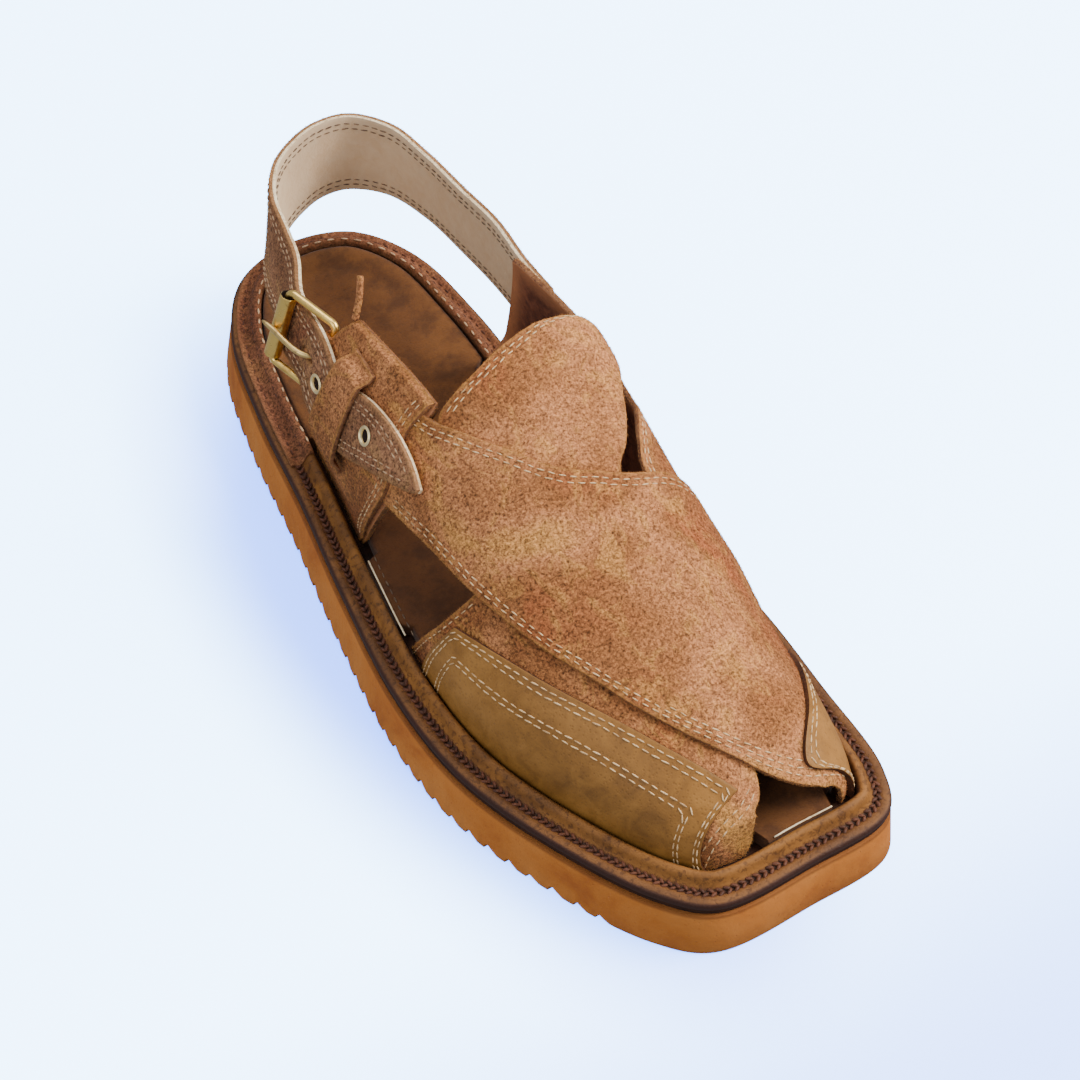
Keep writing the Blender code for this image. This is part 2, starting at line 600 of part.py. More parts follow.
def make_upper():
    """One hollow wall: the crossed straps with the tongue, and the two quarters."""
    station, girth = edge_grid(UNDER_STRAP, 31, 13, FRONT_EDGE_CROWD)
    tip = np.linspace(0, 1, 31)[:, None]
    lift = TONGUE_LIFT * ramp(tip, TONGUE_RISE_START, TONGUE_RISE_END) * np.ones_like(station)
    upper = slab("upper", last_offset(station, girth, lift),
                 last_offset(station, girth, lift - STRAP_WALL), "suede")

    station, girth = edge_grid(TOP_STRAP, 26, 10)
    lift = top_strap_lift(station, girth)
    bedded = lift - STRAP_WALL - LAYER_BED * lift / LAYER_LIFT
    top = slab("top_strap", last_offset(station, girth, lift),
               last_offset(station, girth, bedded), None, True)
    boolean(upper, top, "UNION")

    station, girth = edge_grid(INNER_QUARTER, 19, 7)
    inner = slab("inner_quarter", last_offset(station, girth, 0.0),
                 last_offset(station, girth, -STRAP_WALL), None, True)
    boolean(upper, inner, "UNION")

    station, girth = edge_grid(OUTER_QUARTER, 16, 9)
    down = np.linspace(0, 1, 16)[:, None] * np.ones_like(station)
    folded = ramp(down, 0.0, FOLD_ROLL) * (1 - ramp(down, FOLD_FADE_START, FOLD_FADE_END))
    rolled = 0.5 * FOLD_LIFT * (1 - ramp(down, 0.0, FOLD_ROLL))
    outer_face = rolled + FOLD_LIFT * folded
    outer = slab("outer_quarter", last_offset(station, girth, outer_face),
                 last_offset(station, girth, rolled - STRAP_WALL), None, True)
    boolean(upper, outer, "UNION")

    frame = buckle_frame()
    axes = np.array([frame["rear"], frame["up"], frame["out"]])
    chape = turned_solid("chape", CHAPE_RADIUS, CHAPE_LENGTH, frame["bar"], frame["up"])
    boolean(upper, chape, "UNION")
    bar_room = turned_solid("bar_room", ROD_RADIUS + CLEARANCE, ROLLER_LENGTH, frame["bar"], frame["up"])
    boolean(upper, bar_room, "DIFFERENCE")
    room = 2 * (CHAPE_RADIUS + CLEARANCE)
    window = box("chape_window", frame["bar"], axes, (room, CHAPE_WINDOW, room + CHAPE_MARGIN))
    boolean(upper, window, "DIFFERENCE")
    return upper


def turned_solid(name, radius, length, centre, axis, sides=16):
    """Plain cylinder used as a cutter."""
    axis = np.asarray(axis, float)
    side = np.cross(axis, (0.0, 0.3, 1.0))
    side /= np.linalg.norm(side)
    other = np.cross(axis, side)
    angles = 2 * np.pi * np.arange(sides) / sides
    ring = radius * (np.outer(np.cos(angles), side) + np.outer(np.sin(angles), other))
    return loft(name, [centre + ring - axis * length / 2, centre + ring + axis * length / 2], None, True)


def make_overlays():
    """Smooth leather overlays on both straps, down into the slot."""
    station, girth = edge_grid(OUTER_OVERLAY, 16, 6)
    slab("overlay_outer", last_offset(station, girth, OUTER_OVERLAY_GAP + OVERLAY_THICKNESS),
         last_offset(station, girth, OUTER_OVERLAY_GAP), "overlay")
    station, girth = edge_grid(INNER_OVERLAY, 12, 6)
    base = top_strap_lift(station, girth) + INNER_OVERLAY_GAP
    slab("overlay_inner", last_offset(station, girth, base + OVERLAY_THICKNESS),
         last_offset(station, girth, base), "overlay")


def buckle_frame():
    """Place and axes of the buckle: its bar's middle, and up, rear and out directions."""
    middle = 0.5 * (FOLD_LIFT - STRAP_WALL)
    point, out, girthwise = last_frame(BUCKLE_STATION, BUCKLE_GIRTH)
    up = -girthwise
    rear = np.cross(up, out)
    if rear[1] < 0:
        rear = -rear
    turned_rear = math.cos(BUCKLE_TURN) * rear + math.sin(BUCKLE_TURN) * out
    turned_out = math.cos(BUCKLE_TURN) * out - math.sin(BUCKLE_TURN) * rear
    return {"bar": point + middle * out, "up": up, "rear": turned_rear, "out": turned_out}


def buckle_point(frame, rear, up, out):
    """World point from distances along the buckle's axes."""
    return frame["bar"] + rear * frame["rear"] + up * frame["up"] + out * frame["out"]


def strap_sections():
    """Centre, width direction and width of the heel strap's sections, from seat to tip."""
    rows = []
    extra = HEEL_STRAP_WIDTH - BUCKLE_STRAP_WIDTH
    half = STRAP_THICKNESS / 2
    for station, girth, share in STRAP_SEAT:
        point, normal, girthwise = last_frame(station, girth)
        rows.append((*(point + normal * (CLEARANCE + half)), *girthwise, BUCKLE_STRAP_WIDTH + share * extra))
    free = np.array([(across(x), along(s), z * COLLAR_HEIGHT) for x, s, z, _, _ in HEEL_STRAP])
    step = np.gradient(free, axis=0)
    for point, direction, (_, _, _, lean, share) in zip(free, step, HEEL_STRAP):
        outward = np.array([direction[1], -direction[0], 0.0])
        outward /= np.linalg.norm(outward)
        angle = math.radians(lean)
        up = math.cos(angle) * np.array([0, 0, 1.0]) + math.sin(angle) * outward
        rows.append((*point, *up, BUCKLE_STRAP_WIDTH + share * extra))
    frame = buckle_frame()
    under = -(ROLLER_RADIUS + ROLLER_SLACK + half)
    over = PRONG_EYE_RADIUS + PRONG_RADIUS + CLEARANCE + half
    for rear, out in ((BUCKLE_REACH, under), (0.5 * BUCKLE_REACH, 0.5 * (under + over)), (0.0, over)):
        rows.append((*buckle_point(frame, rear, 0.0, out), *frame["up"], BUCKLE_STRAP_WIDTH))
    for station, girth, share in STRAP_TONGUE:
        point, normal, girthwise = last_frame(station, girth)
        lift = FOLD_LIFT + CLEARANCE + half
        rows.append((*(point + normal * lift), *(-girthwise), BUCKLE_STRAP_WIDTH * share))
    return np.array(rows)


def strap_tables(count):
    """Evenly spaced strap sections: centre, width direction, outward direction and width."""
    rows = strap_sections()
    gaps = np.linalg.norm(np.diff(rows[:, :3], axis=0), axis=1)
    place = np.concatenate(([0], np.cumsum(gaps)))
    table = smooth_table(np.linspace(0, place[-1], count), np.column_stack((place, rows)))
    centre, width_way, width = table[:, :3], table[:, 3:6], table[:, 6]
    step = np.gradient(centre, axis=0)
    step /= np.linalg.norm(step, axis=1)[:, None]
    width_way = width_way - step * (width_way * step).sum(1)[:, None]
    width_way /= np.linalg.norm(width_way, axis=1)[:, None]
    out = np.cross(step, width_way)
    middle = np.array([across(0.05), along(0.3), 0.0])
    if ((centre[0] - middle) * out[0]).sum() < 0:
        out = -out
    return centre, width_way, out, width


def make_heel_strap():
    """Heel strap from the inner quarter round the heel, through the buckle to its pointed tip."""
    centre, way, out, width = strap_tables(56)
    share = np.linspace(-0.5, 0.5, 5)
    mid = centre[:, None] + way[:, None] * (width[:, None] * share)[..., None]
    push = 0.5 * STRAP_THICKNESS * out[:, None]
    strap = slab("heel_strap", mid + push, mid - push, "suede")
    frame = buckle_frame()
    hole = box("prong_slot", buckle_point(frame, PRONG_HOLE_PLACE, 0.0, CUTTER_DEPTH / 3),
               np.array([frame["rear"], frame["up"], frame["out"]]), (*PRONG_HOLE, CUTTER_DEPTH))
    boolean(strap, hole, "DIFFERENCE")
    for number, place in enumerate(EYELETS, 1):
        point, normal = eyelet_place(place)
        cutter = turned_solid(f"eyelet_hole_{number}", EYELET_BARREL + CLEARANCE, CUTTER_DEPTH,
                              point, normal, 12)
        boolean(strap, cutter, "DIFFERENCE")


def eyelet_place(place):
    """Point on the strap's outer face and its direction for an eyelet."""
    centre, _, out, _ = strap_tables(200)
    target = last_offset(*place, FOLD_LIFT + CLEARANCE + STRAP_THICKNESS / 2)
    tail = len(centre) * 2 // 3
    nearest = tail + int(np.linalg.norm(centre[tail:] - target, axis=1).argmin())
    return centre[nearest] + out[nearest] * STRAP_THICKNESS / 2, out[nearest]


def make_eyelets():
    """Eyelets set in the strap's holes."""
    depth = STRAP_THICKNESS * EYELET_DEPTH
    for number, place in enumerate(EYELETS, 1):
        point, normal = eyelet_place(place)
        lift = CLEARANCE + EYELET_FLANGE
        profile = ((EYELET_BORE, -depth), (EYELET_BARREL, -depth), (EYELET_BARREL, CLEARANCE),
                   (EYELET_RADIUS, CLEARANCE), (EYELET_RADIUS, lift), (EYELET_BORE, lift))
        turned(f"eyelet_{number}", profile, point, normal, 12, "brass")


def make_keeper():
    """Suede keeper: a bridge over the strap with both ends down on the outer quarter."""
    (top_station, top_girth), (low_station, low_girth) = KEEPER
    foot = FOLD_LIFT + CLEARANCE
    under = foot + STRAP_THICKNESS + 2 * CLEARANCE
    over = under + KEEPER_THICKNESS
    leg = KEEPER_LEG
    shares = np.array([0.0, leg, leg + 0.02, 0.3, 0.5, 0.7, 0.98 - leg, 1 - leg, 1.0])
    low = np.array([foot, foot, under, under, under, under, under, foot, foot])
    end = foot + KEEPER_END
    high = np.array([end, over, over, over, over, over, over, over, end])
    half = 0.5 * KEEPER_WIDTH / LENGTH
    span = np.linspace(-half, half, 3)
    station = (top_station + (low_station - top_station) * shares)[:, None] + span
    girth = (top_girth + (low_girth - top_girth) * shares)[:, None] + 0 * span
    slab("keeper", last_offset(station, girth, np.repeat(high[:, None], 3, 1)),
         last_offset(station, girth, np.repeat(low[:, None], 3, 1)), "suede")


def make_buckle():
    """Wire frame with a bar, a tube roller on its far side, and a prong hung on the bar."""
    frame = buckle_frame()
    half = ROLLER_LENGTH / 2 + CLEARANCE + ROD_RADIUS
    path = []
    corners = ((BUCKLE_REACH, half, 0), (0, half, 90), (0, -half, 180), (BUCKLE_REACH, -half, 270))
    for rear, up, start in corners:
        centre_rear = rear - FRAME_CORNER if rear > 0 else rear + FRAME_CORNER
        centre_up = up - FRAME_CORNER if up > 0 else up + FRAME_CORNER
        for step in range(4):
            angle = math.radians(start + 30 * step)
            path.append(buckle_point(frame, centre_rear + FRAME_CORNER * math.cos(angle),
                                     centre_up + FRAME_CORNER * math.sin(angle), 0.0))
    tube("buckle_frame", path, ROD_RADIUS, 10, "brass", closed=True)
    bore = ROD_RADIUS + CLEARANCE
    end = ROLLER_LENGTH / 2
    turned("buckle_roller", ((bore, -end), (ROLLER_RADIUS, -end), (ROLLER_RADIUS, end), (bore, end)),
           buckle_point(frame, BUCKLE_REACH, 0.0, 0.0), frame["up"], 16, "brass")

    eye = [buckle_point(frame, PRONG_EYE_RADIUS * math.cos(a), 0.0, PRONG_EYE_RADIUS * math.sin(a))
           for a in (2 * math.pi * k / 14 for k in range(14))]
    prong = tube("buckle_prong", eye, PRONG_RADIUS, 8, "brass", closed=True)
    rest = ROLLER_RADIUS + CLEARANCE + PRONG_RADIUS
    tip = (BUCKLE_REACH + PRONG_TIP[0], rest + PRONG_TIP[1])
    route = ((0.0, PRONG_EYE_RADIUS), *PRONG_BEND, (BUCKLE_REACH, rest), tip)
    points = resample(route, 14)
    shaft = tube("prong_shaft", [buckle_point(frame, rear, 0.0, out) for rear, out in points],
                 PRONG_RADIUS, 8, None, helper=True)
    boolean(prong, shaft, "UNION")


def make_thong():
    """End of the leather thong that stands out of the outer quarter's fold."""
    point, out, _ = last_frame(*THONG_ROOT)
    root = point + out * (0.5 * (FOLD_LIFT + THONG_THICKNESS) + CLEARANCE)
    table = resample(root + np.array(THONG_BEND), 7)
    step = np.gradient(table, axis=0)
    step /= np.linalg.norm(step, axis=1)[:, None]
    side = np.cross(step, (1.0, 0.0, 0.0))
    side /= np.linalg.norm(side, axis=1)[:, None]
    thick = np.cross(step, side)
    w, t = THONG_WIDTH / 2, THONG_THICKNESS / 2
    rings = [np.array([p + w * s + t * n, p - w * s + t * n, p - w * s - t * n, p + w * s - t * n])
             for p, s, n in zip(table, side, thick)]
    loft("fold_thong", rings, "suede")


def clear_scene():
    """Remove what the scene holds already."""
    for obj in list(bpy.data.objects):
        bpy.data.objects.remove(obj, do_unlink=True)


def main():
    """Build every sub-part."""
    clear_scene()
    make_sole()
    make_welt()
    make_heel_rand()
    make_footbed()
    make_upper()
    make_overlays()
    make_heel_strap()
    make_eyelets()
    make_keeper()
    make_buckle()
    make_thong()


main()
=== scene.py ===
"""Looks of the kaptan chappal: every panel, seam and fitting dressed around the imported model.

Places along the shoe are shares of its length from the heel (stations), and girth runs over the
last from 0 (inner side) through 0.5 (top) to 1 (outer side). Sizes are in metres.
"""
from __future__ import annotations

import logging
import math
from dataclasses import dataclass, field
from enum import Enum, IntEnum
from typing import Callable, Sequence

import bmesh
import bpy
import numpy as np
from mathutils import Matrix, Vector

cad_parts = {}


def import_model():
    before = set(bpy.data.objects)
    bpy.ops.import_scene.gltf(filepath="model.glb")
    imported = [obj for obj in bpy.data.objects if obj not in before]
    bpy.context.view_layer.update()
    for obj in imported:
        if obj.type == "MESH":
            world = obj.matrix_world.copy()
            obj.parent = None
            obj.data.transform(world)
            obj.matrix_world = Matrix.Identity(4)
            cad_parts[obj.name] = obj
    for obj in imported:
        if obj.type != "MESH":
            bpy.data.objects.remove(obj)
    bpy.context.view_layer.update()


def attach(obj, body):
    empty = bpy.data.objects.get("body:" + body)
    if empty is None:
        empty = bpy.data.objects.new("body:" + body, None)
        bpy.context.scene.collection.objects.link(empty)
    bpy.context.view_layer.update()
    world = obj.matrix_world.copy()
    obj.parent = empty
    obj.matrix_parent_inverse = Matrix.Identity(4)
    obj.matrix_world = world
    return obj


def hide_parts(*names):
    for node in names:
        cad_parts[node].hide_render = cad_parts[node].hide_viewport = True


Array = np.ndarray
Table = Sequence[Sequence[float]]
Colour = tuple[float, float, float]
LOG = logging.getLogger("chappal")
BODY = "root"


class Face(IntEnum):
    """Which side of a leather piece a face belongs to; also its material slot."""

    OUTER = 0
    INNER = 1
    RIM = 2


class Edge(Enum):
    """Which long edge of a panel a seam follows."""

    FIRST = "first"
    SECOND = "second"


def rgb(red: int, green: int, blue: int) -> Colour:
    """Linear colour from the 0 to 255 values that a screen shows."""
    def linear(value: int) -> float:
        """One channel without its gamma."""
        share = value / 255
        return share / 12.92 if share <= 0.04045 else ((share + 0.055) / 1.055) ** 2.4
    return linear(red), linear(green), linear(blue)


def ramp(value: Array | float, start: float, end: float) -> Array:
    """0 before start, 1 after end, smooth between; start may be the larger."""
    share = np.clip((np.asarray(value, float) - start) / (end - start), 0, 1)
    return share * share * (3 - 2 * share)


def hermite(u: Array, start: Array, leave: Array, end: Array, arrive: Array) -> Array:
    """Cubic between two points with given end tangents."""
    return ((2 * u**3 - 3 * u**2 + 1) * start + (u**3 - 2 * u**2 + u) * leave
            + (3 * u**2 - 2 * u**3) * end + (u**3 - u**2) * arrive)


def smooth_table(place: Array | float, rows: Table | Array) -> Array:
    """Smooth values at places; each row holds a place and then its values."""
    rows = np.asarray(rows, float)
    at, values = rows[:, 0], rows[:, 1:]
    slope = np.diff(values, axis=0) / np.diff(at)[:, None]
    tangent = np.vstack((slope[:1], 0.5 * (slope[1:] + slope[:-1]), slope[-1:]))
    place = np.clip(np.asarray(place, float), at[0], at[-1])
    i = np.clip(np.searchsorted(at, place, side="right") - 1, 0, len(at) - 2)
    span = at[i + 1] - at[i]
    u = ((place - at[i]) / span)[..., None]
    span = span[..., None]
    return hermite(u, values[i], span * tangent[i], values[i + 1], span * tangent[i + 1])


def resample(rows: Table | Array, count: int) -> Array:
    """Rows spread evenly by index along the smooth curve through them."""
    rows = np.asarray(rows, float)
    index = np.arange(len(rows), dtype=float)
    return smooth_table(np.linspace(0, len(rows) - 1, count), np.column_stack((index, rows)))


def smooth_loop(points: Table | Array, per_span: int) -> Array:
    """Closed smooth curve through points, spaced by the root of each span's length."""
    points = np.asarray(points, float)
    count = len(points)
    curve = []
    for i in range(count):
        a, b, c, d = (points[(i + k) % count] for k in (-1, 0, 1, 2))
        t1, t2, t3 = (math.sqrt(np.linalg.norm(q - p)) for p, q in ((a, b), (b, c), (c, d)))
        leave = ((b - a) / t1 - (c - a) / (t1 + t2) + (c - b) / t2) * t2
        arrive = ((c - b) / t2 - (d - b) / (t2 + t3) + (d - c) / t3) * t2
        curve += [hermite(k / per_span, b, leave, c, arrive) for k in range(per_span)]
    return np.array(curve)


def inset_loop(loop: Array, distance: float) -> Array:
    """Loop moved inwards by a distance, or outwards if it is negative, with no folded corners."""
    ahead = np.roll(loop, -1, 0) - np.roll(loop, 1, 0)
    ahead /= np.linalg.norm(ahead, axis=1)[:, None]
    inward = np.column_stack((-ahead[:, 1], ahead[:, 0]))
    if ((loop.mean(0) - loop) * inward).sum() < 0:
        inward = -inward
    moved = loop + distance * inward
    if distance <= 0:
        return moved
    step = np.roll(loop, -1, 0) - loop
    away = moved[:, None] - loop[None]
    share = np.clip((away * step).sum(2) / (step**2).sum(1), 0, 1)
    gap = np.linalg.norm(away - share[..., None] * step, axis=2).min(1)
    good = gap > 0.97 * distance
    index = np.arange(len(loop))
    columns = [np.interp(index, index[good], moved[good, k], period=len(loop)) for k in (0, 1)]
    return np.column_stack(columns)


def unit(vectors: Array) -> Array:
    """Vectors scaled to length 1."""
    vectors = np.asarray(vectors, float)
    return vectors / np.maximum(np.linalg.norm(vectors, axis=-1, keepdims=True), 1e-12)


def run_length(points: Array) -> Array:
    """Distance along a line of points, from 0 at its first."""
    gaps = np.linalg.norm(np.diff(points, axis=0), axis=1)
    return np.concatenate(([0.0], np.cumsum(gaps)))


# Outline of the sole seen from above: (across, along), from the heel round the outer side.
OUTLINE = (
    (0.027, 0.003), (-0.164, 0.028), (-0.300, 0.101), (-0.382, 0.212), (-0.445, 0.347),
    (-0.518, 0.483), (-0.573, 0.622), (-0.564, 0.740), (-0.464, 0.861), (-0.336, 0.955),
    (-0.227, 0.993), (0.055, 1.000), (0.309, 0.993), (0.382, 0.948), (0.409, 0.837),
    (0.427, 0.712), (0.391, 0.556), (0.355, 0.382), (0.373, 0.212), (0.345, 0.094),
    (0.227, 0.024),
)

# Sections of the last: (station, height of the instep, ridge across, fullness inner, outer,
# bulge over the slot inner, outer of the ball's width).
LAST = (
    (0.21, 0.98, 0.060, 5.0, 2.4, 0.073, 0.024),
    (0.35, 0.98, 0.060, 5.0, 2.4, 0.073, 0.024),
    (0.47, 0.97, 0.060, 5.0, 2.3, 0.068, 0.016),
    (0.56, 0.88, 0.045, 4.4, 2.3, 0.048, 0.012),
    (0.66, 0.75, 0.015, 3.5, 2.4, 0.032, 0.018),
    (0.75, 0.635, -0.005, 3.3, 2.5, 0.028, 0.018),
    (0.84, 0.54, -0.005, 3.2, 2.5, 0.026, 0.018),
    (0.91, 0.45, 0.000, 3.0, 2.5, 0.012, 0.009),
    (0.962, 0.35, 0.000, 3.0, 2.5, 0.000, 0.000),
)

# Panels as rows of two edge points on the last: (station, girth, station, girth).
UNDER_STRAP = (
    (0.956, 1.000, 0.575, 1.000), (0.9562, 0.860, 0.605, 0.920), (0.9548, 0.680, 0.628, 0.850),
    (0.950, 0.590, 0.643, 0.775), (0.931, 0.520, 0.640, 0.745), (0.860, 0.470, 0.600, 0.735),
    (0.780, 0.445, 0.560, 0.720), (0.700, 0.435, 0.525, 0.710), (0.636, 0.438, 0.495, 0.700),
    (0.609, 0.384, 0.489, 0.665), (0.584, 0.346, 0.486, 0.615), (0.553, 0.311, 0.479, 0.550),
    (0.524, 0.270, 0.474, 0.480), (0.503, 0.260, 0.477, 0.400), (0.489, 0.290, 0.481, 0.350),
)
TOP_STRAP = (
    (0.430, 0.860, 0.420, 0.740), (0.494, 0.845, 0.486, 0.712), (0.577, 0.800, 0.532, 0.665),
    (0.643, 0.765, 0.567, 0.620), (0.727, 0.715, 0.605, 0.560), (0.779, 0.680, 0.626, 0.490),
    (0.828, 0.650, 0.640, 0.400), (0.880, 0.595, 0.646, 0.320), (0.922, 0.510, 0.654, 0.240),
    (0.9495, 0.400, 0.660, 0.160), (0.9575, 0.282, 0.663, 0.100), (0.9575, 0.130, 0.664, 0.050),
    (0.957, 0.000, 0.665, 0.000),
)
OUTER_QUARTER = (
    (0.483, 0.690, 0.340, 0.722), (0.482, 0.705, 0.336, 0.736), (0.480, 0.750, 0.322, 0.775),
    (0.489, 0.815, 0.320, 0.840), (0.486, 0.850, 0.322, 0.890), (0.456, 0.940, 0.305, 0.950),
    (0.425, 1.000, 0.295, 1.000),
)
INNER_QUARTER = (
    (0.333, 0.230, 0.290, 0.000), (0.360, 0.242, 0.330, 0.000), (0.420, 0.250, 0.410, 0.000),
    (0.500, 0.248, 0.500, 0.000), (0.553, 0.252, 0.553, 0.000), (0.584, 0.302, 0.590, 0.000),
    (0.609, 0.342, 0.620, 0.000), (0.640, 0.372, 0.655, 0.000), (0.700, 0.360, 0.700, 0.000),
)
OUTER_OVERLAY = (
    (0.647, 0.825, 0.608, 0.985), (0.690, 0.790, 0.660, 0.985), (0.727, 0.762, 0.720, 0.985),
    (0.807, 0.707, 0.800, 0.985), (0.870, 0.660, 0.875, 0.985), (0.905, 0.625, 0.925, 0.985),
    (0.929, 0.595, 0.9515, 0.985),
)
INNER_OVERLAY = (
    (0.790, 0.100, 0.785, 0.015), (0.835, 0.180, 0.830, 0.015), (0.885, 0.275, 0.880, 0.015),
    (0.936, 0.370, 0.930, 0.015), (0.950, 0.200, 0.955, 0.015),
)
# Free part of the heel strap: (across, along, height of the collar, lean in degrees, width share).
HEEL_STRAP = (
    (0.333, 0.264, 0.816, -3, 0.90), (0.328, 0.205, 0.810, -4, 0.90), (0.319, 0.130, 0.800, -4, 1.0),
    (0.284, 0.075, 0.800, 0, 1.0), (0.195, 0.040, 0.801, 4, 1.0), (0.102, 0.036, 0.801, 4, 1.0),
    (0.012, 0.048, 0.802, 4, 1.0), (-0.076, 0.071, 0.808, 3, 0.95), (-0.158, 0.108, 0.814, -5, 0.85),
    (-0.208, 0.156, 0.820, -15, 0.55), (-0.240, 0.196, 0.838, -18, 0.3),
)
STRAP_SEAT = ((0.385, 0.170, 0.90), (0.335, 0.170, 0.92))
STRAP_TONGUE = (
    (0.350, 0.834, 1.00), (0.400, 0.818, 1.00), (0.440, 0.798, 0.92), (0.475, 0.784, 0.74),
    (0.505, 0.774, 0.48), (0.525, 0.768, 0.24), (0.536, 0.764, 0.07),
)
EYELETS = ((0.331, 0.834), (0.445, 0.797))
KEEPER = ((0.389, 0.742), (0.366, 0.893))
# Soft creases of the crossed straps: (station, girth, reach along, reach round, turn, depth).
TOP_CREASES = (
    (0.600, 0.640, 0.010, 0.100, 0.4, -0.0007), (0.640, 0.560, 0.010, 0.080, 0.6, 0.0006),
    (0.700, 0.560, 0.012, 0.110, 0.5, -0.0006), (0.760, 0.500, 0.014, 0.120, 0.3, 0.0006),
    (0.690, 0.330, 0.012, 0.080, -0.4, -0.0006), (0.830, 0.400, 0.012, 0.090, -0.2, -0.0005),
    (0.530, 0.730, 0.008, 0.060, 0.3, 0.0005), (0.860, 0.480, 0.012, 0.060, 0.1, 0.0005),
)
TONGUE_CREASES = (
    (0.545, 0.600, 0.008, 0.120, 0.1, -0.0007), (0.525, 0.480, 0.008, 0.120, 0.2, 0.0006),
    (0.560, 0.400, 0.007, 0.060, -0.2, -0.0005), (0.505, 0.560, 0.006, 0.060, 0.3, -0.0004),
)


# Section of one groove of the tread: share of its half width and of its depth.
TOOTH = ((1.0, 0.0), (0.94, 0.55), (0.80, 0.90), (0.56, 1.0), (0.10, 0.66), (-0.50, 0.30), (-1.0, 0.0))


@dataclass(frozen=True)
class Shoe:
    """Sizes that the pieces share, and the last that the upper is drawn on."""

    length: float = 0.288
    ball_width: float = 0.110
    instep_height: float = 0.100
    collar_height: float = 0.076
    clearance: float = 0.0003
    outsole: float = 0.016
    midsole: float = 0.0022
    welt_inset: float = 0.0004
    welt_width: float = 0.0101
    bead: float = 0.0022
    slot: float = 0.0021
    wall: float = 0.0018
    strap: float = 0.0026
    layer: float = 0.0015
    fold: float = 0.0030
    crest: float = 2.3
    bulge_height: float = 0.020
    toe_reach: float = 0.0070
    per_span: int = 16
    middle: Array = field(init=False, repr=False)
    loop: Array = field(init=False, repr=False)
    slot_loop: Array = field(init=False, repr=False)

    def __post_init__(self) -> None:
        """Work out the sole's outline and the slot that the upper goes down into."""
        shares = [(x * self.ball_width, -s * self.length) for x, s in OUTLINE]
        coarse = smooth_loop(shares, 4)
        middle = 0.5 * (coarse.min(0) + coarse.max(0))
        loop = smooth_loop(shares, self.per_span) - middle
        object.__setattr__(self, "middle", middle)
        object.__setattr__(self, "loop", loop)
        object.__setattr__(self, "slot_loop", inset_loop(loop, self.slot_inset))

    @property
    def midsole_top(self) -> float:
        """Height of the midsole's upper face."""
        return self.outsole + self.clearance + self.midsole

    @property
    def base(self) -> float:
        """Height at which welt, footbed and upper start."""
        return self.midsole_top + self.clearance

    @property
    def slot_inset(self) -> float:
        """Distance from the sole's edge to the outer face of the upper at its foot."""
        return self.welt_inset + self.welt_width + self.slot

    def across(self, share: Array | float) -> Array:
        """X of a share of the ball's width."""
        return share * self.ball_width - self.middle[0]

    def along(self, share: Array | float) -> Array:
        """Y of a share of the length from the heel."""
        return -share * self.length - self.middle[1]

    def ring(self, inset: float, height: Array | float) -> Array:
        """Ring of the sole's outline at an inset and a height."""
        loop = inset_loop(self.loop, inset)
        return np.column_stack((loop, np.broadcast_to(height, len(loop))))

    def slot_sides(self, y: Array) -> tuple[Array, Array, Array]:
        """X of the slot's inner and outer side at each Y, and Y kept within the slot."""
        a, b = self.slot_loop, np.roll(self.slot_loop, -1, 0)
        y = np.clip(y, a[:, 1].min() + 0.00015, a[:, 1].max() - 0.00015)
        level = y[..., None]
        crosses = (a[:, 1] <= level) != (b[:, 1] <= level)
        with np.errstate(divide="ignore", invalid="ignore"):
            x = a[:, 0] + (level - a[:, 1]) / (b[:, 1] - a[:, 1]) * (b[:, 0] - a[:, 0])
        return np.where(crosses, x, -1).max(-1), np.where(crosses, x, 1).min(-1), y

    def point(self, station: Array, girth: Array) -> Array:
        """Points on the last, from stations and girths."""
        station, girth = np.broadcast_arrays(np.asarray(station, float), np.asarray(girth, float))
        inner_x, outer_x, y = self.slot_sides(self.along(station))
        outer_x = outer_x + self.toe_reach * ramp(station, 0.950, 0.9565)
        columns = np.moveaxis(smooth_table(station, LAST), -1, 0)
        height, ridge, full_in, full_out, bulge_in, bulge_out = columns
        ridge = self.across(ridge)
        rise = height * self.instep_height - self.base
        c = np.cos(np.pi * girth)
        s = np.sin(np.pi * np.clip(girth, 0, 1))
        inner = c > 0
        full = np.where(inner, full_in, full_out)
        low, high = np.full(c.shape, 0.5), np.full(c.shape, 2.0)
        for _ in range(30):
            radius = 0.5 * (low + high)
            outside = (np.abs(c) * radius)**full + (s * radius)**self.crest > 1
            low, high = np.where(outside, low, radius), np.where(outside, radius, high)
        lift = s * radius
        swell = ramp(lift * rise, 0.0, self.bulge_height) * self.ball_width
        reach = np.where(inner, inner_x + bulge_in * swell - ridge,
                         ridge - outer_x + bulge_out * swell)
        x = ridge + np.sign(c) * reach * np.abs(c) * radius
        return np.stack([x, y, self.base + rise * lift], -1)

    def frame(self, station: Array, girth: Array) -> tuple[Array, Array, Array]:
        """Point on the last with its unit normal and its unit step round the girth."""
        near, small = 0.002, 0.002
        station, girth = np.broadcast_arrays(np.asarray(station, float), np.asarray(girth, float))
        point = self.point(station, girth)
        lengthwise = self.point(station + near, girth) - self.point(station - near, girth)
        girthwise = (self.point(station, np.clip(girth + small, 0, 1))
                     - self.point(station, np.clip(girth - small, 0, 1)))
        return point, unit(np.cross(girthwise, lengthwise)), unit(girthwise)

    def offset(self, station: Array, girth: Array, distance: Array | float) -> Array:
        """Points at a distance outside the last."""
        point, normal, _ = self.frame(station, girth)
        return point + normal * np.broadcast_to(distance, point.shape[:-1])[..., None]


Lift = Callable[[Array, Array, Array, Array], Array]


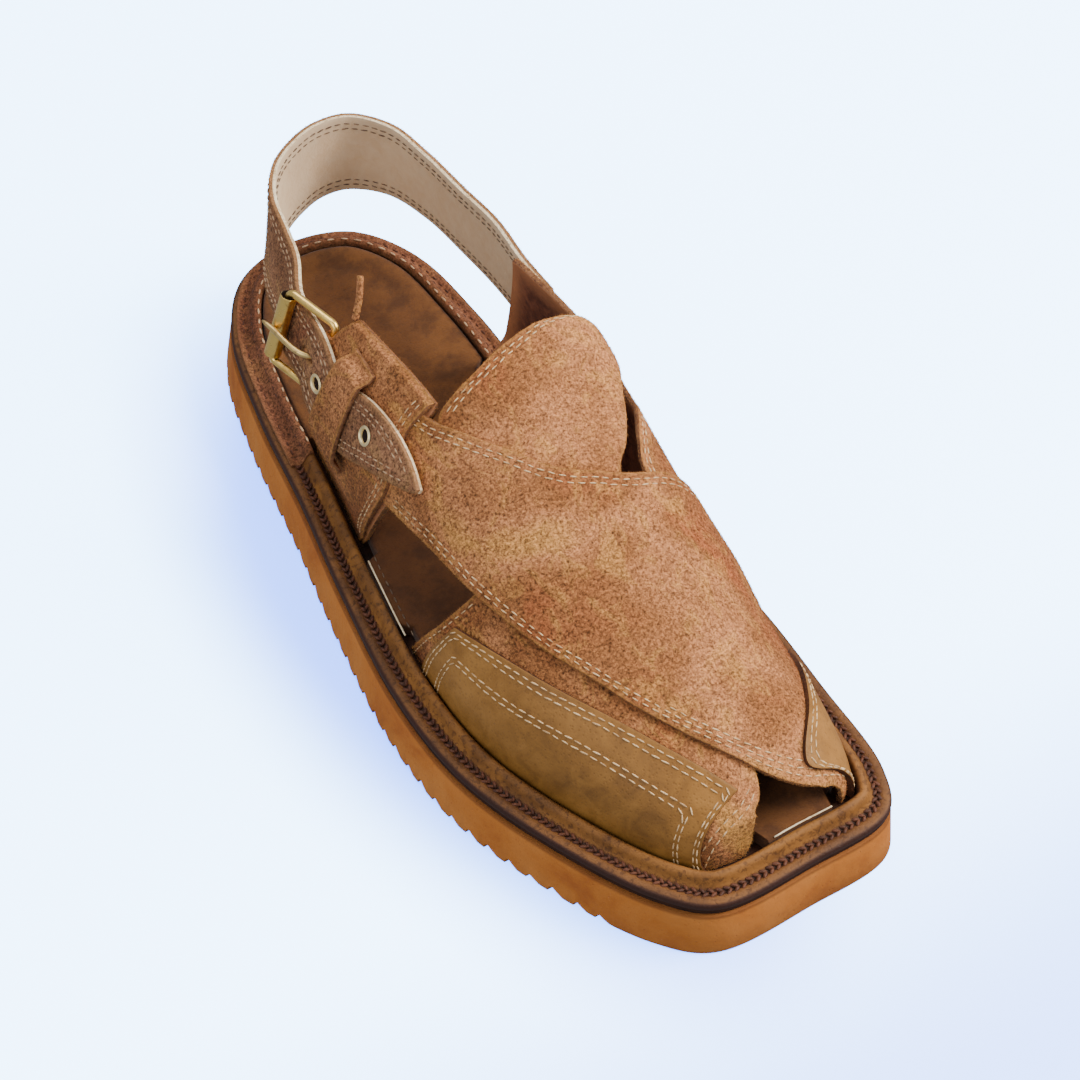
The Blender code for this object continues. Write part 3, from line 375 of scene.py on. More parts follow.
@dataclass(frozen=True)
class Panel:
    """A leather panel on the last, between two edges given row by row.

    Down runs from 0 at the first row to 1 at the last, and share from 0 at the first edge to 1
    at the second. lift gives the outer face's height over the last there.
    """

    shoe: Shoe
    rows: Table
    lift: Lift
    wall: float

    def place(self, down: Array, share: Array) -> tuple[Array, Array]:
        """Station and girth at places on the panel."""
        rows = np.asarray(self.rows, float)
        index = np.arange(len(rows), dtype=float)
        table = smooth_table(np.asarray(down) * (len(rows) - 1), np.column_stack((index, rows)))
        station = table[..., 0] * (1 - share) + table[..., 2] * share
        girth = table[..., 1] * (1 - share) + table[..., 3] * share
        return station, np.clip(girth, 0, 1)

    def outer(self, down: Array, share: Array, above: float = 0.0) -> Array:
        """Points on the outer face, or above it."""
        down, share = np.broadcast_arrays(np.asarray(down, float), np.asarray(share, float))
        station, girth = self.place(down, share)
        return self.shoe.offset(station, girth, self.lift(station, girth, down, share) + above)

    def inner(self, down: Array, share: Array) -> Array:
        """Points on the inner face."""
        down, share = np.broadcast_arrays(np.asarray(down, float), np.asarray(share, float))
        station, girth = self.place(down, share)
        lift = self.lift(station, girth, down, share)
        return self.shoe.offset(station, girth, np.minimum(lift - self.wall, lift * 0.35 - self.wall))

    def normal(self, down: Array, share: Array) -> Array:
        """Outward directions at places on the panel."""
        return self.shoe.frame(*self.place(np.asarray(down, float), np.asarray(share, float)))[1]

    def lengths(self) -> tuple[float, Callable[[Array], Array]]:
        """Length along the middle, and the width at each down."""
        down = np.linspace(0, 1, 60)
        length = run_length(self.outer(down, 0.5))[-1]
        share = np.linspace(0, 1, 24)
        grid = self.outer(down[:, None], share[None, :])
        width = np.linalg.norm(np.diff(grid, axis=1), axis=2).sum(1)
        return length, lambda at: np.interp(at, down, width)

    def row(self, edge: Edge, distance: float, start: float, end: float) -> tuple[Array, Array]:
        """Line of points at a distance from one long edge, with outward directions.

        Args:
            edge: the edge that the line follows.
            distance: how far in from that edge.
            start, end: where it starts and ends, as shares of the panel's rows.

        Returns:
            Points on the outer face and their normals.
        """
        down = np.linspace(start, end, 120)
        _, width = self.lengths()
        share = np.clip(distance / np.maximum(width(down), 1e-4), 0, 0.5)
        share = share if edge is Edge.FIRST else 1 - share
        return self.outer(down, share), self.normal(down, share)

    def frame_line(self, side: float, top: float, end: float, foot: float = 1.0) -> tuple[Array, Array]:
        """Line up one short edge, along the first long edge and down the other short edge.

        Args:
            side: distance from the first row.
            top: distance from the first long edge.
            end: distance from the last row.
            foot: share at which both legs start.

        Returns:
            Points on the outer face and their normals.
        """
        length, width = self.lengths()
        start, stop = side / length, 1 - end / length
        first, last = top / width(start), top / width(stop)
        along = np.linspace(start, stop, 90)
        legs = (
            (np.full(30, start), np.linspace(foot, first, 30)),
            (along, np.clip(top / width(along), 0, 1)),
            (np.full(30, stop), np.linspace(last, foot, 30)),
        )
        down = np.concatenate([leg[0] for leg in legs])
        share = np.concatenate([leg[1] for leg in legs])
        return self.outer(down, share), self.normal(down, share)


def creased(creases: Table, station: Array, girth: Array) -> Array:
    """Depth of soft creases at stations and girths."""
    depth = np.zeros(np.shape(station))
    for at, turn_girth, reach, spread, turn, height in creases:
        along, round_ = (station - at) / reach, (girth - turn_girth) / spread
        across = along - turn * round_ * spread / reach * 0.3
        depth = depth + height * np.exp(-across**2 - round_**2)
    return depth


def plain_mesh(name: str, vertices: Array, faces: Sequence[Sequence[int]]) -> bpy.types.Object:
    """Linked mesh object with smooth faces pointing out."""
    mesh = bpy.data.meshes.new(name)
    mesh.from_pydata([tuple(map(float, v)) for v in vertices], [], faces)
    mesh.update()
    turned = bmesh.new()
    turned.from_mesh(mesh)
    if turned.calc_volume(signed=True) < 0:
        bmesh.ops.reverse_faces(turned, faces=turned.faces)
    turned.to_mesh(mesh)
    turned.free()
    mesh.shade_smooth()
    obj = bpy.data.objects.new(name, mesh)
    bpy.context.scene.collection.objects.link(obj)
    return obj


def add_values(obj: bpy.types.Object, name: str, values: Array) -> None:
    """Store one number for each vertex."""
    attribute = obj.data.attributes.new(name, "FLOAT", "POINT")
    attribute.data.foreach_set("value", np.asarray(values, np.float32).ravel())


def grid_faces(rows: int, columns: int, wrap: bool = False) -> list[tuple[int, ...]]:
    """Quads of a grid of points; wrap joins the last column to the first."""
    reach = columns if wrap else columns - 1
    return [(i * columns + j, i * columns + (j + 1) % columns,
             (i + 1) * columns + (j + 1) % columns, (i + 1) * columns + j)
            for i in range(rows - 1) for j in range(reach)]


def edge_distance(grid: Array) -> Array:
    """Distance from each point of a grid to the grid's nearest edge, along its surface."""
    def reach(axis: int) -> Array:
        """Distance to the nearer end along one direction of the grid."""
        steps = np.linalg.norm(np.diff(grid, axis=axis), axis=2)
        zero = np.zeros_like(np.take(steps, [0], axis))
        run = np.concatenate((zero, np.cumsum(steps, axis)), axis)
        total = np.take(run, [-1], axis)
        return np.minimum(run, total - run)
    return np.minimum(reach(0), reach(1))


def leather_slab(name: str, outer: Array, inner: Array, bevel: float,
                 dress: Sequence[bpy.types.Material], skin: float = 0.0) -> bpy.types.Object:
    """Closed piece between two grids of points, with rounded rims.

    Args:
        name: the piece's name.
        outer, inner: grids of points of the same size.
        bevel: width of the rounding along the rims.
        dress: materials of the outer face, the inner face and the rim.
        skin: share of the rim's height that is dressed as the outer face.

    Returns:
        The piece, with the attributes edge (metres from the rim) and nap (1 where fibres stand).
    """
    rows, columns = outer.shape[:2]
    total = rows * columns
    front = grid_faces(rows, columns)
    back = [tuple(total + k for k in reversed(face)) for face in front]
    rim = list(range(columns))
    rim += [i * columns + columns - 1 for i in range(1, rows)]
    rim += [(rows - 1) * columns + j for j in range(columns - 2, -1, -1)]
    rim += [i * columns for i in range(rows - 2, 0, -1)]
    upper, lower = outer.reshape(-1, 3), inner.reshape(-1, 3)
    around = list(range(len(rim)))
    ahead = around[1:] + around[:1]
    upper_sides = [(rim[b], rim[a], 2 * total + a, 2 * total + b) for a, b in zip(around, ahead)]
    sides = [(2 * total + b, 2 * total + a, total + rim[a], total + rim[b]) for a, b in zip(around, ahead)]
    seam = upper[rim] + (lower[rim] - upper[rim]) * skin
    if not skin:
        upper_sides, seam = [], seam[:0]
        sides = [(rim[b], rim[a], total + rim[a], total + rim[b]) for a, b in zip(around, ahead)]
    obj = plain_mesh(name, np.vstack((upper, lower, seam)), front + back + upper_sides + sides)
    for material in dress:
        obj.data.materials.append(material)
    roles = [Face.OUTER] * len(front) + [Face.INNER] * len(back) + [Face.OUTER] * len(upper_sides)
    roles += [Face.RIM] * len(sides)
    obj.data.polygons.foreach_set("material_index", np.array(roles, np.int32))
    distance = edge_distance(outer).ravel()
    add_values(obj, "edge", np.concatenate((distance, distance, np.zeros(len(seam)))))
    nap = 1 + 2.5 * ramp(distance, 0.0016, 0.0)
    add_values(obj, "nap", np.concatenate((nap, np.zeros(total), np.full(len(seam), 1.5))))
    if bevel > 0:
        rounding = obj.modifiers.new("rounding", "BEVEL")
        rounding.width = bevel
        rounding.segments = 2
        rounding.limit_method = "ANGLE"
        rounding.angle_limit = math.radians(50)
        rounding.use_clamp_overlap = True
        settle(obj)
    return obj


def settle(obj: bpy.types.Object) -> bpy.types.Object:
    """Make an object's modifiers part of its mesh."""
    depsgraph = bpy.context.evaluated_depsgraph_get()
    made = bpy.data.meshes.new_from_object(obj.evaluated_get(depsgraph), depsgraph=depsgraph)
    obj.modifiers.clear()
    old = obj.data
    obj.data = made
    name = old.name
    bpy.data.meshes.remove(old)
    made.name = name
    return obj


def swept(name: str, rings: Sequence[Array], material: bpy.types.Material, closed: bool = False,
          capped: bool = True) -> bpy.types.Object:
    """Smooth solid through closed rings of equal counts."""
    count = len(rings[0])
    rows = list(rings) + ([rings[0]] if closed else [])
    faces = grid_faces(len(rows), count, True)
    if closed:
        total = len(rings) * count
        faces = [tuple(k % total for k in face) for face in faces]
    elif capped:
        last = (len(rings) - 1) * count
        faces.append(tuple(reversed(range(count))))
        faces.append(tuple(last + k for k in range(count)))
    obj = plain_mesh(name, np.vstack(rings), faces)
    obj.data.materials.append(material)
    return obj


def tube_rings(path: Array, radius: Array | float, sides: int, closed: bool = False) -> list[Array]:
    """Rings of a round tube along a path."""
    path = np.asarray(path, float)
    step = unit(np.roll(path, -1, 0) - np.roll(path, 1, 0) if closed else np.gradient(path, axis=0))
    flat = np.linalg.svd(path - path.mean(0))[2][2]
    radii = np.broadcast_to(radius, len(path))
    angles = 2 * np.pi * np.arange(sides) / sides
    rings = []
    for point, ahead, size in zip(path, step, radii):
        side = unit(flat - ahead * flat.dot(ahead))
        other = np.cross(ahead, side)
        rings.append(point + size * (np.outer(np.cos(angles), side) + np.outer(np.sin(angles), other)))
    return rings


def sharpen(obj: bpy.types.Object, degrees: float) -> bpy.types.Object:
    """Keep faces smooth but for edges that turn more than an angle."""
    obj.data.set_sharp_from_angle(angle=math.radians(degrees))
    return obj


def finish_piece(obj: bpy.types.Object, slot: str, *nodes: str) -> bpy.types.Object:
    """Ride on the shoe's one body and stand for CAD nodes, which it hides.

    Args:
        obj: the finished piece.
        slot: not used.
        nodes: the CAD nodes that it replaces.

    Returns:
        The same piece.
    """
    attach(obj, BODY)
    if nodes:
        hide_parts(*nodes)
    LOG.info("%s: %d faces", obj.name, len(obj.data.polygons))
    return obj


class Value:
    """A shader socket that takes part in Python arithmetic."""

    def __init__(self, graph: "Graph", socket: bpy.types.NodeSocket) -> None:
        """Wrap one output socket of a graph."""
        self.graph = graph
        self.socket = socket

    def __add__(self, other: "Value | float") -> "Value":
        """Sum."""
        return self.graph.math("ADD", self, other)

    def __radd__(self, other: float) -> "Value":
        """Sum, number first."""
        return self.graph.math("ADD", other, self)

    def __sub__(self, other: "Value | float") -> "Value":
        """Difference."""
        return self.graph.math("SUBTRACT", self, other)

    def __rsub__(self, other: float) -> "Value":
        """Difference, number first."""
        return self.graph.math("SUBTRACT", other, self)

    def __mul__(self, other: "Value | float") -> "Value":
        """Product."""
        return self.graph.math("MULTIPLY", self, other)

    def __rmul__(self, other: float) -> "Value":
        """Product, number first."""
        return self.graph.math("MULTIPLY", other, self)

    def __pow__(self, other: float) -> "Value":
        """Power."""
        return self.graph.math("POWER", self, other)

    def ramp(self, start: float, end: float) -> "Value":
        """0 at start and 1 at end, smooth between."""
        settings = {"interpolation_type": "SMOOTHSTEP"}
        feeds = {"Value": self, "From Min": start, "From Max": end}
        if start > end:
            feeds = {"Value": self, "From Min": end, "From Max": start, "To Min": 1.0, "To Max": 0.0}
        return self.graph.node("ShaderNodeMapRange", settings, feeds)


Feed = Value | float | Sequence[float]


class Graph:
    """Node tree of one material around its Principled shader."""

    def __init__(self, name: str) -> None:
        """Start a material with Object coordinates."""
        self.material = bpy.data.materials.new(name)
        self.material.use_nodes = True
        self.tree = self.material.node_tree
        self.shader = self.tree.nodes["Principled BSDF"]
        self.place = self.node("ShaderNodeTexCoord", {}, {}, "Object")

    def node(self, kind: str, settings: dict | None = None, feeds: dict | None = None,
             output: int | str = 0) -> Value:
        """Add one node.

        Args:
            kind: the node's type.
            settings: its own properties, set first; stops are the colours of a ramp.
            feeds: values or links for its input sockets.
            output: the output socket to return.

        Returns:
            The chosen output.
        """
        made = self.tree.nodes.new(kind)
        for key, value in (settings or {}).items():
            if key == "stops":
                self.set_stops(made.color_ramp, value)
            else:
                setattr(made, key, value)
        for key, value in (feeds or {}).items():
            self.feed(made.inputs[key], value)
        return Value(self, made.outputs[output])

    def set_stops(self, ramp_of: bpy.types.ColorRamp, stops: Sequence[tuple[float, Colour]]) -> None:
        """Fill a colour ramp with stops."""
        while len(ramp_of.elements) < len(stops):
            ramp_of.elements.new(0.5)
        for element, (place, colour) in zip(ramp_of.elements, stops):
            element.position = place
            element.color = (*colour, 1.0)

    def feed(self, socket: bpy.types.NodeSocket, value: Feed) -> None:
        """Link a socket or set its value."""
        if isinstance(value, Value):
            self.tree.links.new(value.socket, socket)
        elif isinstance(value, (int, float)):
            socket.default_value = value
        else:
            room = len(socket.default_value)
            socket.default_value = (*value, 1.0)[:room]

    def math(self, operation: str, first: Feed, second: Feed) -> Value:
        """One Math node."""
        return self.node("ShaderNodeMath", {"operation": operation}, {0: first, 1: second})

    def mix(self, share: Feed, first: Feed, second: Feed, blend: str = "MIX") -> Value:
        """Mix two colours."""
        settings = {"data_type": "RGBA", "blend_type": blend}
        return self.node("ShaderNodeMix", settings, {0: share, 6: first, 7: second}, 2)

    def noise(self, scale: float, detail: float = 4.0, roughness: float = 0.55,
              distortion: float = 0.0, stretch: Sequence[float] = (1.0, 1.0, 1.0)) -> Value:
        """Noise on the object's own coordinates, stretched along its axes."""
        place = self.place
        if tuple(stretch) != (1.0, 1.0, 1.0):
            place = self.node("ShaderNodeMapping", {}, {"Vector": self.place, "Scale": stretch})
        feeds = {"Vector": place, "Scale": scale, "Detail": detail, "Roughness": roughness,
                 "Distortion": distortion}
        return self.node("ShaderNodeTexNoise", {}, feeds)

    def cells(self, scale: float, feature: str = "F1", output: str = "Distance") -> Value:
        """Voronoi cells on the object's own coordinates."""
        return self.node("ShaderNodeTexVoronoi", {"feature": feature},
                         {"Vector": self.place, "Scale": scale}, output)

    def values(self, name: str) -> Value:
        """Number stored on the mesh."""
        return self.node("ShaderNodeAttribute", {"attribute_name": name}, {}, "Fac")

    def shades(self, share: Feed, stops: Sequence[tuple[float, Colour]]) -> Value:
        """Colour ramp."""
        return self.node("ShaderNodeValToRGB", {"stops": stops}, {"Fac": share}, "Color")

    def bump(self, height: Feed, distance: float, strength: float = 1.0,
             under: Value | None = None) -> Value:
        """Bumped normal, over another one if given."""
        feeds = {"Height": height, "Distance": distance, "Strength": strength}
        if under is not None:
            feeds["Normal"] = under
        return self.node("ShaderNodeBump", {}, feeds, "Normal")

    def finish(self, colour: Feed, roughness: Feed, normal: Value | None = None,
               **constants: Feed) -> bpy.types.Material:
        """Feed the shader and return the material.

        Args:
            colour: base colour.
            roughness: roughness.
            normal: bumped normal.
            constants: other inputs by name, with _ for a space.

        Returns:
            The finished material.
        """
        self.feed(self.shader.inputs["Base Color"], colour)
        self.feed(self.shader.inputs["Roughness"], roughness)
        if normal is not None:
            self.feed(self.shader.inputs["Normal"], normal)
        for name, value in constants.items():
            self.feed(self.shader.inputs[name.replace("_", " ")], value)
        return self.material


@dataclass(frozen=True)
class Suede:
    """Brushed suede: patches of brushed nap over fine fibres, with painted light towards the shoe's inner side
    and painted shade towards its outer side.
    """

    name: str = "suede"
    deep: Colour = rgb(76, 44, 32)
    base: Colour = rgb(144, 92, 54)
    gold: Colour = rgb(192, 137, 72)
    rust: Colour = rgb(148, 84, 50)
    pink: Colour = rgb(180, 119, 76)
    patch: float = 55.0
    fibre: float = 1500.0
    nap_depth: float = 0.00035
    sheen: float = 0.05

    def build(self) -> bpy.types.Material:
        """Make the material."""
        g = Graph(self.name)
        wide = g.noise(self.patch * 0.5, 3, 0.5, 0.6)
        brushed = g.noise(self.patch * 2.2, 4, 0.6, 1.2, (1.0, 0.55, 1.0))
        streak = g.noise(self.patch * 9, 4, 0.65, 0.8, (1.0, 0.4, 1.0))
        fine = g.noise(self.fibre, 2, 0.6, 0.5)
        speck = g.noise(self.fibre * 0.6, 2, 0.6)
        # Painted light and shade: lighter towards the shoe's inner side, darker towards its outer side.
        painted_side_light = g.node("ShaderNodeSeparateXYZ", {}, {0: g.place}, 0).ramp(-0.050, 0.035)
        colour = g.shades(wide, ((0.30, self.rust), (0.46, self.base), (0.60, self.pink), (0.74, self.gold)))
        golden = brushed.ramp(0.50, 0.68) * 0.5
        colour = g.mix(golden, colour, self.gold)
        dark = streak.ramp(0.54, 0.34) * 0.22
        colour = g.mix(dark, colour, self.deep)
        # Grain, with the painted light and shade across the shoe.
        shade = fine.ramp(0.30, 0.70) * 0.85 + speck.ramp(0.30, 0.70) * 0.60 + painted_side_light * 0.22 + 0.15
        grey = g.node("ShaderNodeCombineColor", {}, {0: shade, 1: shade, 2: shade})
        colour = g.mix(1.0, colour, grey, "MULTIPLY")
        worn = g.values("edge").ramp(0.0016, 0.0) * 0.35
        colour = g.mix(worn, colour, self.gold)
        height = brushed * 0.35 + streak * 0.5 + speck * 0.5 + fine * 0.5
        normal = g.bump(height, self.nap_depth)
        return g.finish(colour, 0.95, normal, Sheen_Weight=self.sheen, Sheen_Roughness=0.45,
                        Sheen_Tint=rgb(235, 205, 170), Specular_IOR_Level=0.15)


@dataclass(frozen=True)
class SmoothLeather:
    """Waxed full-grain leather with pores, creases and worn high spots."""

    name: str
    base: Colour
    light: Colour
    dark: Colour
    gloss: float = 0.56
    grain: float = 900.0
    depth: float = 0.00012

    def build(self) -> bpy.types.Material:
        """Make the material."""
        g = Graph(self.name)
        wide = g.noise(30, 3, 0.5, 0.4)
        cloud = g.noise(140, 4, 0.6, 0.8)
        colour = g.shades(wide * 0.55 + cloud * 0.45, ((0.34, self.dark), (0.50, self.base), (0.66, self.light)))
        pores = g.cells(self.grain).ramp(0.05, 0.45)
        colour = g.mix((1 - pores) * 0.35, colour, self.dark)
        rub = g.values("edge").ramp(0.0022, 0.0002) * 0.35
        colour = g.mix(rub, colour, self.dark)
        height = pores * 0.5 + g.noise(self.grain * 0.6, 4, 0.6) * 0.6 + cloud * 0.4
        roughness = self.gloss + cloud * 0.16 - 0.08
        return g.finish(colour, roughness, g.bump(height, self.depth), Specular_IOR_Level=0.3)


@dataclass(frozen=True)
class WeltLeather:
    """Burnished welt: light beads, dark channel and cross creases, darker outer side."""

    name: str = "welt_leather"
    outer_bead: Colour = rgb(116, 74, 36)
    inner_bead: Colour = rgb(136, 88, 38)
    crease: Colour = rgb(52, 26, 12)
    side: Colour = rgb(58, 30, 20)

    def build(self) -> bpy.types.Material:
        """Make the material."""
        g = Graph(self.name)
        across = g.values("profile")
        colour = g.shades(across, ((0.0, self.side), (0.040, self.side), (0.10, self.outer_bead),
                                   (0.31, self.outer_bead), (0.38, self.crease), (0.50, self.crease),
                                   (0.58, self.inner_bead), (0.90, self.inner_bead), (0.98, self.crease)))
        blotch = g.noise(70, 4, 0.6, 0.6)
        colour = g.mix(blotch.ramp(0.60, 0.38) * 0.45, colour, self.crease)
        wrinkle = g.noise(620, 3, 0.6, 0.5)
        colour = g.mix(wrinkle.ramp(0.50, 0.34) * 0.55, colour, self.crease)
        fine = g.noise(1800, 3, 0.6)
        height = wrinkle * 0.8 + fine * 0.3
        return g.finish(colour, 0.54 + blotch * 0.2, g.bump(height, 0.0003), Specular_IOR_Level=0.28)


@dataclass(frozen=True)
class Rubber:
    """Cast crepe rubber with specks, pores and painted shade along its bottom and top rims."""

    name: str = "sole_rubber"
    base: Colour = rgb(188, 112, 46)
    light: Colour = rgb(198, 124, 58)
    dark: Colour = rgb(168, 94, 38)
    # Colour of the painted shade along the rims.
    painted_shade: Colour = rgb(84, 48, 26)

    def build(self) -> bpy.types.Material:
        """Make the material."""
        g = Graph(self.name)
        wide = g.noise(45, 4, 0.6, 0.4)
        colour = g.shades(wide, ((0.32, self.dark), (0.48, self.base), (0.70, self.light)))
        speck = g.noise(900, 3, 0.6)
        colour = g.mix(speck.ramp(0.60, 0.72) * 0.6, colour, self.dark)
        colour = g.mix(speck.ramp(0.38, 0.28) * 0.5, colour, self.light)
        pore = g.cells(420).ramp(0.02, 0.16)
        colour = g.mix((1 - pore) * 0.5, colour, self.dark)
        # Painted shade: darker along the bottom rim, where the sole meets the floor, and along the top rim under
        # the welt.
        low = g.node("ShaderNodeSeparateXYZ", {}, {0: g.place}, 2)
        colour = g.mix(low.ramp(0.0016, 0.0002) * 0.7, colour, self.painted_shade)
        colour = g.mix(low.ramp(0.0142, 0.0156) * 0.6, colour, self.painted_shade)
        height = g.noise(300, 5, 0.65) * 0.8 + pore * 0.3
        return g.finish(colour, 0.72 + wide * 0.2, g.bump(height, 0.0004), Specular_IOR_Level=0.2)


@dataclass(frozen=True)
class Board:
    """Dark burnished midsole edge with fine layers."""

    name: str = "midsole_board"
    base: Colour = rgb(62, 32, 16)
    dark: Colour = rgb(34, 17, 9)

    def build(self) -> bpy.types.Material:
        """Make the material."""
        g = Graph(self.name)
        layers = g.noise(160, 4, 0.6, 0.2, (1.0, 1.0, 9.0))
        colour = g.shades(layers, ((0.36, self.dark), (0.60, self.base)))
        return g.finish(colour, 0.75, g.bump(layers + g.noise(900, 3), 0.0002), Specular_IOR_Level=0.2)


@dataclass(frozen=True)
class Nubuck:
    """Worn nubuck of the footbed, golden towards the heel and darker towards the toe."""

    name: str = "footbed_nubuck"
    base: Colour = rgb(92, 54, 24)
    golden: Colour = rgb(118, 74, 34)
    dark: Colour = rgb(58, 32, 16)

    def build(self) -> bpy.types.Material:
        """Make the material."""
        g = Graph(self.name)
        wide = g.noise(26, 4, 0.55, 0.5)
        cloud = g.noise(120, 5, 0.65, 0.1)
        along = g.node("ShaderNodeSeparateXYZ", {}, {0: g.place}, 1)
        warm = along.ramp(-0.02, 0.13) * 0.55 + wide.ramp(0.42, 0.68) * 0.45
        colour = g.mix(warm, self.base, self.golden)
        colour = g.mix(cloud.ramp(0.60, 0.30) * 0.6, colour, self.dark)
        fine = g.noise(1600, 3, 0.7)
        colour = g.mix(fine.ramp(0.48, 0.30) * 0.35, colour, self.dark)
        rim = g.values("edge").ramp(0.0020, 0.0002)
        colour = g.mix(rim * 0.5, colour, self.dark)
        height = cloud * 0.5 + fine * 0.5 + g.noise(420, 4, 0.6) * 0.6
        return g.finish(colour, 0.86, g.bump(height, 0.00025), Sheen_Weight=0.15,
                        Sheen_Roughness=0.5, Specular_IOR_Level=0.2)


@dataclass(frozen=True)
class Plain:
    """Matt leather side or raw edge, mottled between two shades.

    Its share of painted shade greys it towards the shoe's inner side, and its share of painted light lightens it
    towards its rim.
    """

    name: str
    base: Colour
    dark: Colour
    scale: float = 260.0
    rough: float = 0.85
    depth: float = 0.0002
    # Shares and tones of painted shade towards the shoe's inner side and of painted light near the rim.
    painted_shade: float = 0.0
    painted_rim_light: float = 0.0
    shadow_grey: Colour = rgb(140, 112, 92)
    painted_rim_light_tone: Colour = rgb(186, 124, 84)

    def build(self) -> bpy.types.Material:
        """Make the material."""
        g = Graph(self.name)
        mottle = g.noise(self.scale, 5, 0.65, 0.4)
        wide = g.noise(self.scale * 0.15, 3, 0.5)
        colour = g.mix((mottle * 0.6 + wide * 0.4).ramp(0.62, 0.36), self.base, self.dark)
        # Painted shade: greyer towards the shoe's inner side.
        if self.painted_shade:
            across = g.node("ShaderNodeSeparateXYZ", {}, {0: g.place}, 0)
            colour = g.mix(across.ramp(-0.015, 0.015) * self.painted_shade, colour, self.shadow_grey)
        # Painted light: lighter towards the rim.
        if self.painted_rim_light:
            colour = g.mix(g.values("edge").ramp(0.010, 0.001) * self.painted_rim_light, colour, self.painted_rim_light_tone)
        height = mottle + g.noise(self.scale * 4, 3, 0.6) * 0.5
        return g.finish(colour, self.rough, g.bump(height, self.depth), Specular_IOR_Level=0.2)


@dataclass(frozen=True)
class Thread:
    """Twisted waxed thread."""

    name: str
    base: Colour
    dark: Colour
    rough: float = 0.6

    def build(self) -> bpy.types.Material:
        """Make the material."""
        g = Graph(self.name)
        tone = g.noise(350, 3, 0.6)
        strands = g.noise(2600, 2, 0.5, 0.3, (1.0, 0.35, 1.0))
        colour = g.mix(tone.ramp(0.60, 0.36) * 0.7, self.base, self.dark)
        colour = g.mix(strands.ramp(0.46, 0.30) * 0.6, colour, self.dark)
        return g.finish(colour, self.rough, g.bump(strands, 0.00012), Specular_IOR_Level=0.3)


@dataclass(frozen=True)
class Brass:
    """Rubbed brass, with duller hollows and fine scratches."""

    name: str = "brass"
    base: Colour = rgb(248, 206, 116)
    dull: Colour = rgb(196, 148, 78)
    rough: float = 0.22

    def build(self) -> bpy.types.Material:
        """Make the material."""
        g = Graph(self.name)
        tarnish = g.noise(260, 4, 0.6, 0.6)
        scratch = g.noise(900, 3, 0.7, 0.4, (1.0, 0.15, 1.0))
        colour = g.mix(tarnish.ramp(0.50, 0.70) * 0.6, self.base, self.dull)
        roughness = self.rough + tarnish * 0.16 + scratch.ramp(0.5, 0.7) * 0.14
        height = tarnish * 0.5 + scratch * 0.3
        return g.finish(colour, roughness, g.bump(height, 0.00006), Metallic=1.0)


class Wardrobe:
    """Every material, made once, with the needle and the nap."""

    def __init__(self) -> None:
        """Build the finishes."""
        self.rubber = Rubber().build()
        self.board = Board().build()
        self.welt = WeltLeather().build()
        self.suede = Suede().build()
        self.strap_suede = Suede("strap_suede", rgb(68, 42, 32), rgb(132, 90, 62), rgb(166, 124, 80),
                                 rgb(132, 80, 56), rgb(156, 109, 78)).build()
        self.rand_suede = Suede("rand_suede", rgb(50, 26, 16), rgb(104, 64, 42), rgb(132, 88, 56),
                                rgb(96, 54, 38), rgb(118, 74, 52)).build()
        self.overlay = SmoothLeather("smooth_leather", rgb(142, 96, 40), rgb(164, 114, 54),
                                     rgb(110, 72, 28)).build()
        self.nubuck = Nubuck().build()
        # The lining takes painted shade towards the shoe's inner side.
        self.lining = Plain("lining_leather", rgb(255, 226, 186), rgb(244, 210, 168), painted_shade=0.5).build()
        # The inside leather takes painted light towards its rims.
        self.inside = Plain("inside_leather", rgb(132, 82, 60), rgb(86, 50, 38), rough=0.8,
                            painted_rim_light=0.7).build()
        self.raw_edge = Plain("raw_edge", rgb(150, 104, 72), rgb(96, 60, 40), 900.0).build()
        self.dark_edge = Plain("waxed_edge", rgb(84, 50, 30), rgb(50, 28, 18), 700.0, 0.6).build()
        self.cream_edge = Plain("cream_edge", rgb(244, 224, 188), rgb(214, 184, 140), 700.0).build()
        self.cream_thread = Thread("cream_thread", rgb(230, 194, 146), rgb(168, 128, 86)).build()
        self.welt_thread = Thread("welt_thread", rgb(96, 54, 34), rgb(52, 28, 18)).build()
        self.lining_thread = Thread("lining_thread", rgb(120, 98, 78), rgb(78, 60, 48)).build()
        self.suede_thread = Thread("suede_thread", rgb(204, 168, 130), rgb(150, 112, 82)).build()
        # Dark material for the insides of the roller and the eyelets: painted shade in hollows.
        self.hole = Plain("needle_hole", rgb(40, 22, 16), rgb(24, 14, 10), rough=0.9).build()
        self.brass = Brass().build()
        self.dull_brass = Brass("dull_brass", rgb(222, 188, 122), rgb(160, 126, 80), 0.30).build()
        self.pale_brass = Brass("pale_brass", rgb(250, 226, 172), rgb(216, 180, 120), 0.38).build()
        self.needle = Needle()
        self.nap = Nap()

    def panel(self) -> tuple[bpy.types.Material, bpy.types.Material, bpy.types.Material]:
        """Materials of a suede panel: outer face, inner face and rim."""
        return self.suede, self.inside, self.raw_edge


